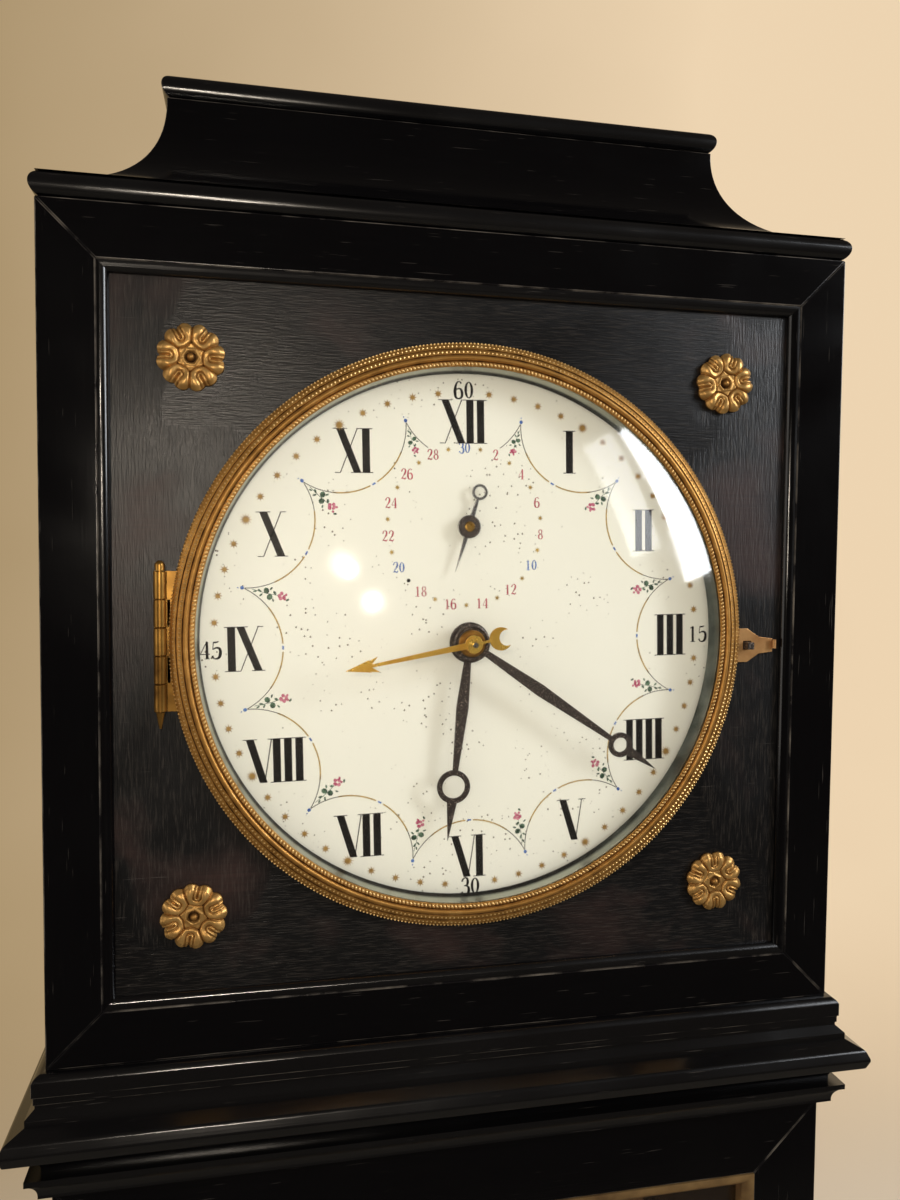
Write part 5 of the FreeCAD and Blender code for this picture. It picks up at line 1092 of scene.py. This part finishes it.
# %% [markdown]
# ## Stars
# A gold star marks each minute, a larger one each five minutes, and a small one each odd day.
# One of the day stars has lost its gold and is a dark dot.
# A star is a dab whose every other corner is drawn in.

# %% Gold stars
def star(bm, place, radius_mm, points):
    back = place.inverted()
    for corner in dab(bm, place, radius_mm * 2, radius_mm * 2, points * 2):
        own = back @ corner.co
        step = round(math.atan2(own.y, own.x) / (math.pi / points))
        if step % 2:
            corner.co = place @ Vector((own.x * 0.4, own.y * 0.4, own.z))


STAR_RADIUS = 140
stars = bmesh.new()
for minute in range(60):
    if minute % 15:
        large = minute % 5 == 0
        star(stars, clock_place(minute * 6, STAR_RADIUS), 3.6 if large else 2.7, 12 if large else 8)
star_piece = fire_on("gold_stars", stars, gold_paint)

day_stars, day_dot = bmesh.new(), bmesh.new()
LOST_STAR = 9
for index in range(15):
    spot = clock_place(index * 24 + 12, DATE_RADIUS, origin=date_circle)
    if index == LOST_STAR:
        dab(day_dot, spot, 2.2, 2.2)
    else:
        star(day_stars, spot, 1.8, 8)
fire_on("day_stars", day_stars, line_gold)
fire_on("day_dot", day_dot, black_paint)
print("star faces:", len(star_piece.data.polygons))

# %% [markdown]
# ## Scallops
# A scalloped line hangs under the hours like a garland, from a blue dot at each half hour to the next.
# It is a hairline near the dots and a broader gold line in the middle, with one blue dash.
# The one under twelve stops short of the dates.
# Each is part of a circle, so a small square section is spun through part of a turn.

# %% Garland lines
SCALLOP_RADIUS, SCALLOP_CENTRE, DOT_RADIUS = 37.0, 140.0, 127.0


def arc_line(bm, place, radius_mm, start_deg, end_deg, width_mm):
    """A painted arc about a place; 0 degrees points along the place's own up."""
    centre = place.to_translation()
    first = place @ Matrix.Rotation(math.radians(start_deg), 4, "Z")
    half, rise = width_mm / 2 * MM, PAINT_RISE
    corners = [bm.verts.new(first @ Vector((0, radius_mm * MM + side, lift)))
               for side, lift in ((-half, 0), (half, 0), (half, rise), (-half, rise))]
    end = bm.faces.new(corners)
    normal = place.to_3x3() @ Vector(AXIS_Z)
    bmesh.ops.spin(bm, geom=[end, *corners, *end.edges], cent=centre, axis=normal,
                   angle=math.radians(end_deg - start_deg), steps=max(2, int(abs(end_deg - start_deg) / 4)))


hairlines, gold_lines, blue_marks = bmesh.new(), bmesh.new(), bmesh.new()
for hour in range(12):
    garland = clock_place(hour * 30, SCALLOP_CENTRE, inward=True)
    whole = hour > 0
    for way_round in (-1, 1):
        arc_line(hairlines, garland, SCALLOP_RADIUS, way_round * 34, way_round * 62.4, 0.4)
        if whole:
            arc_line(gold_lines, garland, SCALLOP_RADIUS, way_round * 3.5, way_round * 37, 0.75)
    if whole:
        arc_line(blue_marks, garland, SCALLOP_RADIUS, -1.6, 1.6, 0.95)
    half_hour = clock_place(hour * 30 + 15, DOT_RADIUS + 1.5, inward=True)
    dab(blue_marks, half_hour, 2.0, 2.2)
    dab(blue_marks, half_hour @ Matrix.Translation((0.5 * MM, -2.2 * MM, 0)), 0.7, 1.0, 6)
for bm in (hairlines, gold_lines, blue_marks):
    face_out(bm)
fire_on("scallop_hairlines", hairlines, black_paint)
fire_on("scallop_gold_lines", gold_lines, line_gold)
fire_on("blue_dots", blue_marks, blue_paint)
print("scallops: 12")

# %% [markdown]
# ## Sprigs
# A sprig hangs from each dot: a thin stem with small leaves, two round leaves and a pink rose.
# Each is a dozen touches of a brush. A seeded random number shifts each touch, so no two are the same.

# %% Sprigs of leaves and roses
hand = random.Random(7)
leaves, roses, stems = bmesh.new(), bmesh.new(), bmesh.new()
LEAF_TOUCHES = ((0.3, 3.4, 0.8, 1.8, 0.3), (-0.4, 5.2, 1.0, 2.2, -0.5), (1.2, 6.2, 0.9, 2.0, 0.9),
                (-1.3, 8.6, 3.0, 2.6, 0.4), (1.5, 10.2, 2.9, 2.7, -0.3), (-2.6, 10.6, 0.9, 1.9, 1.0),
                (-0.6, 12.4, 1.2, 2.0, -0.8), (2.9, 12.4, 0.8, 1.7, -1.1), (1.5, 18.6, 1.0, 1.8, 0.7))
ROSE_TOUCHES = ((0.0, 14.6, 2.2, 1.8, 0.2), (1.4, 15.4, 1.8, 1.9, -0.5), (-1.3, 15.7, 1.9, 1.7, 0.6),
                (0.1, 16.6, 2.4, 1.6, 0.0), (1.3, 17.2, 1.3, 1.2, 0.3), (-0.9, 17.6, 1.4, 1.1, -0.4))
for hour in range(12):
    near_date_ring = hour in (0, 11)
    scale = 0.9 if near_date_ring else 1.18
    sprig = clock_place(hour * 30 + 15, DOT_RADIUS - 1.5, inward=True)
    swing = Matrix.Rotation(hand.uniform(-0.08, 0.08), 4, "Z")
    sprig = sprig @ Matrix.Diagonal((scale, scale, 1, 1)) @ swing
    for touches, bm in ((LEAF_TOUCHES, leaves), (ROSE_TOUCHES, roses)):
        for x, y, wide, tall, turn in touches:
            x, y = x + hand.uniform(-0.3, 0.3), y + hand.uniform(-0.3, 0.3)
            dab(bm, at(x, y, turn, sprig), wide, tall, 8)
    stroke(stems, sprig, -0.4, 0.2, 2.0, 9.0, 0.25)
    stroke(stems, sprig, 0.2, 0.0, 9.0, 14.5, 0.25)
leaf_piece = fire_on("sprig_leaves", leaves, green_paint)
rose_piece = fire_on("sprig_roses", roses, pink_paint)
stem_piece = fire_on("sprig_stems", stems, green_paint)
print("sprig faces:", [len(p.data.polygons) for p in (leaf_piece, rose_piece, stem_piece)])

# %% [markdown]
# ## Hubs of the hands and the lug's curl
# The date hand is held by a knurled nut on a brass arbor, the minute hand by a brass collet in a raised
# rim, the seconds hand tapers to a barbed arrow, and the bezel's lug ends in a curl for a fingernail.
# All are too small for the solids, so they are added here.

# %% Knurled date nut
date_axis = Vector((0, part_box("date_hand")[0].y, DIAL_Z + DATE_RISE * MM))
NUT_RIDGES = 40
nut = bmesh.new()
cone(nut, 48, 6.1, 5.6, 1.2, Matrix.Translation(date_axis + Vector((0, -0.6, 0)) * MM) @ FACING)
side = Matrix.Translation(date_axis + Vector((6.0, -0.6, 0)) * MM)
ridge_shape = Matrix.Diagonal((0.8, 1.0, 0.5, 1))
ridge = bmesh.ops.create_cube(nut, size=1.0 * MM, matrix=side @ ridge_shape)["verts"]
copy_round(nut, ridge, NUT_RIDGES, date_axis)
set_piece("date_hand_nut", nut, "date", "steel", black_steel)
stud = bmesh.new()
cone(stud, 32, 3.0, 2.6, 0.8, Matrix.Translation(date_axis + Vector((0, -1.5, 0)) * MM) @ FACING)
front_rim = [e for e in stud.edges if all(v.co.y < date_axis.y - 1.8 * MM for v in e.verts)]
round_edges(stud, front_rim, 0.3 * MM, 3)
set_piece("date_arbor_end", stud, "date", "brass", brass)
print("date nut ridges:", NUT_RIDGES)

# %% Collet and rim of the minute hand
hub = Vector((0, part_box("minute_hand")[0].y, DIAL_Z))
for name, slot, metal, section in (
        ("minute_collet", "brass", old_brass, ((4.5, 0), (7.6, 0), (7.6, 0.6), (6.9, 1.2), (4.5, 1.2))),
        ("minute_hub_rim", "steel", black_steel,
         ((8.4, 0), (10.4, 0), (10.3, 0.5), (9.4, 0.9), (8.6, 0.5)))):
    ring = bmesh.new()
    spin_section(ring, [hub + Vector((out, -rise, 0)) * MM for out, rise in section], hub, AXIS_Y, 96)
    shade(ring)
    set_piece(name, ring, "minute", slot, metal)
print("minute hand rings: 2")

# %% Needle of the seconds hand
needle_low, needle_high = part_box("seconds_hand")
NEEDLE_EDGE = ((4.4, 1.7), (57.5, 0.8), (53.6, 4.3), (60.5, 2.3), (71.8, 0))
NEEDLE_PROUD = 0.12 * MM
tip = max((v.co for v in nodes["seconds_hand"].data.vertices), key=lambda c: math.hypot(c.x, c.z - DIAL_Z))
pointing = Matrix.Rotation(-math.atan2(tip.z - DIAL_Z, tip.x), 4, "Y")
edge = [*NEEDLE_EDGE, *[(out, -across) for out, across in reversed(NEEDLE_EDGE[:-1])]]
needle = bmesh.new()
origin = Matrix.Translation((0, needle_low.y - NEEDLE_PROUD, DIAL_Z)) @ pointing
corners = [needle.verts.new(origin @ Vector((out * MM, 0, across * MM))) for out, across in edge]
blade = needle.faces.new(corners)
behind = bmesh.ops.extrude_face_region(needle, geom=[blade])["geom"]
bmesh.ops.translate(needle, vec=(0, needle_high.y - needle_low.y, 0), verts=verts_in(behind))
face_out(needle)
set_piece("seconds_needle", needle, nodes["seconds_hand"]["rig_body"], "gilt_bronze", bright_gilt)
print("needle points along", [round(v, 3) for v in (tip.x, tip.z - DIAL_Z)])

# %% Curled tip of the lug
lug_low, lug_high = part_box("bezel_latch_lug")
curl = bmesh.new()
curl_axis = Vector((lug_high.x, lug_low.y - 0.6 * MM, (lug_low.z + lug_high.z) / 2 + 0.8 * MM))
corners = [curl.verts.new(curl_axis + Vector((x, y, z)) * MM)
           for x, y, z in ((0, 0.6, -2.6), (0, 1.8, -2.6), (0, 1.8, 2.6), (0, 0.6, 2.6))]
strip = curl.faces.new(corners)
bmesh.ops.spin(curl, geom=[strip, *corners, *strip.edges], cent=curl_axis, axis=AXIS_Z,
               angle=math.radians(-215), steps=18)
face_out(curl)
set_piece("lug_curl", curl, "bezel", "brass", red_brass)
print("curl at x", round(curl_axis.x, 4))

# %% [markdown]
# ## The drive line
# The weight hangs on a twisted line over the sheave, and a small counterweight keeps it taut.
# A three-lobed section, spun about its own axis while it climbs, gives the twist in one step.
# As the clock is wound the weight's side shortens and the other side grows. Here the weight's side is one
# fixed length, and a second length of line rides on the counterweight and slides out of the first.

# %% Twisted line
hemp, tree, shader, spot = start_finish("twisted_hemp", {"IOR": 1.45})
fibre = add(tree, "TexNoise", {"Vector": spot, "Scale": per(1.2), "Detail": 4})
yarn = add(tree, "Mix", {0: fibre, 6: "#7a6040", 7: "#c2a678"}, **COLOUR)
fuzz = add(tree, "MapRange", {"Value": fibre, "To Min": 0.7, "To Max": 0.95})
feed(shader, {"Base Color": yarn, "Roughness": fuzz})

STRANDS, LAY_MM, STEPS_PER_LAY = 3, 14.0, 12


def twisted_line(foot, length, radius):
    """A laid line standing on a point."""
    bm = bmesh.new()
    section = bmesh.ops.create_circle(bm, cap_ends=True, segments=18, radius=radius,
                                      matrix=Matrix.Translation(foot))["verts"]
    for vert in section:
        out = vert.co - foot
        lobe = 0.84 + 0.16 * abs(math.cos(STRANDS / 2 * math.atan2(out.y, out.x)))
        vert.co = foot + out * lobe
    end = section[0].link_faces[0]
    steps = math.ceil(length / (LAY_MM * MM) * STEPS_PER_LAY)
    bmesh.ops.spin(bm, geom=[end, *section, *end.edges], cent=foot, axis=AXIS_Z,
                   dvec=Vector((0, 0, length / steps)), angle=TURN * steps / STEPS_PER_LAY, steps=steps)
    face_out(bm)
    for face in bm.faces:
        face.smooth = len(face.verts) == 4
    return bm


line_low, line_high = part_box("drive_line")
counter_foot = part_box("counterweight")[1]
LINE_RADIUS = 1.9 * MM
line_y = (line_low.y + line_high.y) / 2
sheave_x = (line_low.x + line_high.x) / 2
SHEAVE_RADIUS = 32 * MM
axle_z = line_high.z - SHEAVE_RADIUS - 2 * MM
print("line from", round(line_low.z, 3), "to", round(line_high.z, 3))

# %% Four lengths of line
weight_foot = Vector((sheave_x + SHEAVE_RADIUS, line_y, line_low.z))
weight_line = set_piece("weight_line", twisted_line(weight_foot, axle_z - line_low.z, LINE_RADIUS),
                        "case", "line", hemp)
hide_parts("drive_line")
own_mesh(weight_line)

PAID_OUT_LENGTH, PAID_OUT_RADIUS = 0.61, LINE_RADIUS * 0.78
fixed_foot = Vector((sheave_x - SHEAVE_RADIUS, line_y, counter_foot.z))
fixed_line = twisted_line(fixed_foot, axle_z - counter_foot.z, LINE_RADIUS)
set_piece("counter_line", fixed_line, "case", "line", hemp)
paid_out = twisted_line(fixed_foot, PAID_OUT_LENGTH, PAID_OUT_RADIUS)
set_piece("counter_line_paid_out", paid_out, "counter", "line", hemp)

over = twisted_line(Vector(), math.pi * SHEAVE_RADIUS, LINE_RADIUS)
for vert in over.verts:
    angle = vert.co.z / SHEAVE_RADIUS
    reach = SHEAVE_RADIUS + vert.co.x
    vert.co = Vector((sheave_x + reach * math.cos(angle), line_y + vert.co.y,
                      axle_z + reach * math.sin(angle)))
face_out(over)
set_piece("line_over_sheave", over, "case", "line", hemp)
print("line lengths mm:", round((axle_z - line_low.z) / MM), round((axle_z - counter_foot.z) / MM))

# %% [markdown]
# ## Floor and light
# The clock stands on a pale floor that sweeps up behind it into a plain wall of warm cream. Its colour is
# painted lighter to the right, as if the window there lit it. The wall is also what the camera, the gloss
# and the glass see of the world behind.
# In front and overhead the room is dim, as a room behind a photographer is, and polish mirrors a darker
# floor than the camera sees. That keeps polished black black.

# %% Painted plaster
def rays_seen(tree):
    """The light path, and how far a ray is one that somebody sees: straight, mirrored or through glass."""
    way = add(tree, "LightPath", {}).node.outputs
    looked_at = add(tree, "Math", {0: way["Is Camera Ray"], 1: way["Is Glossy Ray"]}, operation="MAXIMUM")
    return way, add(tree, "Math", {0: looked_at, 1: way["Is Transmission Ray"]}, operation="MAXIMUM")


plaster, tree, shader, spot = start_finish("painted_plaster", {"Roughness": 0.9})
place = add(tree, "SeparateXYZ", {0: spot}).node.outputs
brushed = add(tree, "TexNoise", {"Vector": spot, "Scale": per(1400), "Detail": 3})
# Painted light: the wall's colour runs from darker at the left to lighter at the right, as light from the
# window at the right would fall; brushed noise mottles it.
sideways = add(tree, "MapRange", {"Value": place["X"], "From Min": -1.6, "From Max": 2.0})
patchy = add(tree, "Math", {0: brushed, 1: 0.24, 2: sideways}, operation="MULTIPLY_ADD")
lit = add(tree, "MapRange", {"Value": patchy, "From Min": 0.12, "From Max": 1.12})
cream_and_painted_light = add(tree, "Mix", {0: lit, 6: "#a28a63", 7: "#f1d8b5"}, **COLOUR)
climb = add(tree, "MapRange", {"Value": place["Y"], "From Min": 0.8, "From Max": 2.6})
way, seen_rays = rays_seen(tree)
boards = add(tree, "Mix", {0: way["Is Glossy Ray"], 6: "#f5f0e7", 7: "#57524a"}, **COLOUR)
ground = add(tree, "Mix", {0: climb, 6: boards, 7: cream_and_painted_light}, **COLOUR)
feed(shader, {"Base Color": ground})
on_wall = add(tree, "MapRange", {"Value": place["Y"], "From Min": 1.2, "From Max": 3.0, "To Max": 0.9})
share = add(tree, "Math", {0: seen_rays, 1: on_wall}, operation="MULTIPLY")
glow = add(tree, "Emission", {"Color": cream_and_painted_light})
wall = add(tree, "MixShader", {0: share, 1: shader.outputs[0], 2: glow})
feed(tree.nodes["Material Output"], {"Surface": wall})
print("backdrop finish:", plaster.name)

# %% Sweep of floor and wall
sweep = bmesh.new()
FLOOR_FRONT, WALL_BACK, HALF_WIDTH, WALL_TOP = -1.85, 3.4, 9, 6
edge = ((FLOOR_FRONT, 0), (WALL_BACK, 0), (WALL_BACK, WALL_TOP))
corners = [sweep.verts.new((-HALF_WIDTH, y, z)) for y, z in edge]
for pair in zip(corners, corners[1:]):
    sweep.edges.new(pair)
bmesh.ops.bevel(sweep, geom=[corners[1]], offset=1.2, segments=16, profile=0.5, affect="VERTICES",
                material=-1)
across = bmesh.ops.extrude_edge_only(sweep, edges=sweep.edges)["geom"]
bmesh.ops.translate(sweep, vec=(2 * HALF_WIDTH, 0, 0), verts=verts_in(across))
face_out(sweep)
for face in sweep.faces:
    face.smooth = True
floor = as_object("sweep", sweep, plaster)
print("floor faces:", len(floor.data.polygons))

# %% [markdown]
# ## Lamps
# Two small lamps beside the viewer light the dial, haze the panel's dull polish and put a spark on
# every round moulding. A tall window of two panes at the right shows in the domed glass, and
# a broad lamp well to the left fills in from where no polished face mirrors it to the viewer.

# %% Lamps
def soft_lamp(name, shape, place, target, size, watts, colour, lean=0.0):
    lamp = bpy.data.lights.new(name, "AREA")
    lamp.shape = shape
    lamp.size = size[0]
    lamp.size_y = size[-1]
    lamp.energy = watts
    lamp.color = paint(colour)[:3]
    holder = bpy.data.objects.new(name, lamp)
    aim = (Vector(target) - Vector(place)).to_track_quat("-Z", "Y").to_matrix().to_4x4()
    holder.matrix_world = Matrix.Translation(place) @ aim @ Matrix.Rotation(math.radians(lean), 4, "Z")
    bpy.context.scene.collection.objects.link(holder)
    return holder


HOOD = (0, -0.12, 1.68)
soft_lamp("viewer_lamp_high", "DISK", (-0.196, -0.69, 1.809), HOOD, (0.03,), 0.55, "#fff1de")
soft_lamp("viewer_lamp_low", "DISK", (-0.136, -0.69, 1.73), HOOD, (0.026,), 0.42, "#fff1de")
soft_lamp("window_near_pane", "RECTANGLE", (1.56, -1.50, 2.53), HOOD, (0.3, 0.9), 3.2, "#f6faff", 12)
soft_lamp("window_far_pane", "RECTANGLE", (1.85, -1.14, 2.47), HOOD, (0.36, 1.18), 26, "#f6faff", 12)
soft_lamp("side_lamp", "RECTANGLE", (-2.3, -1.15, 1.9), HOOD, (1.0, 1.8), 9, "#fff8ee")

# %% Room
world = bpy.data.worlds.new("room")
world.use_nodes = True
bpy.context.scene.world = world
tree = world.node_tree
room = tree.nodes["Background"]
feed(room, {"Color": "#fdf9f2", "Strength": 0.64})
way, seen_rays = rays_seen(tree)
looking = add(tree, "TexCoord", {}, "Generated")
heading = add(tree, "SeparateXYZ", {0: looking}).node.outputs
behind = add(tree, "MapRange", {"Value": heading["Y"], "From Min": -0.25, "From Max": 0.35})
below = add(tree, "MapRange", {"Value": heading["Z"], "From Min": 0.8, "From Max": 0.35})
wall_share = add(tree, "Math", {0: behind, 1: below}, operation="MULTIPLY")
cream_share = add(tree, "Math", {0: way["Is Camera Ray"], 1: wall_share}, operation="MAXIMUM")
view = add(tree, "Mix", {0: cream_share, 6: "#3a352f", 7: "#f1d8b5"}, **COLOUR)
backdrop = add(tree, "Background", {"Color": view})
both = add(tree, "MixShader", {0: seen_rays, 1: room.outputs[0], 2: backdrop})
feed(tree.nodes["World Output"], {"Surface": both})
bpy.context.scene.view_settings.view_transform = "Standard"
print("world nodes:", len(tree.nodes))
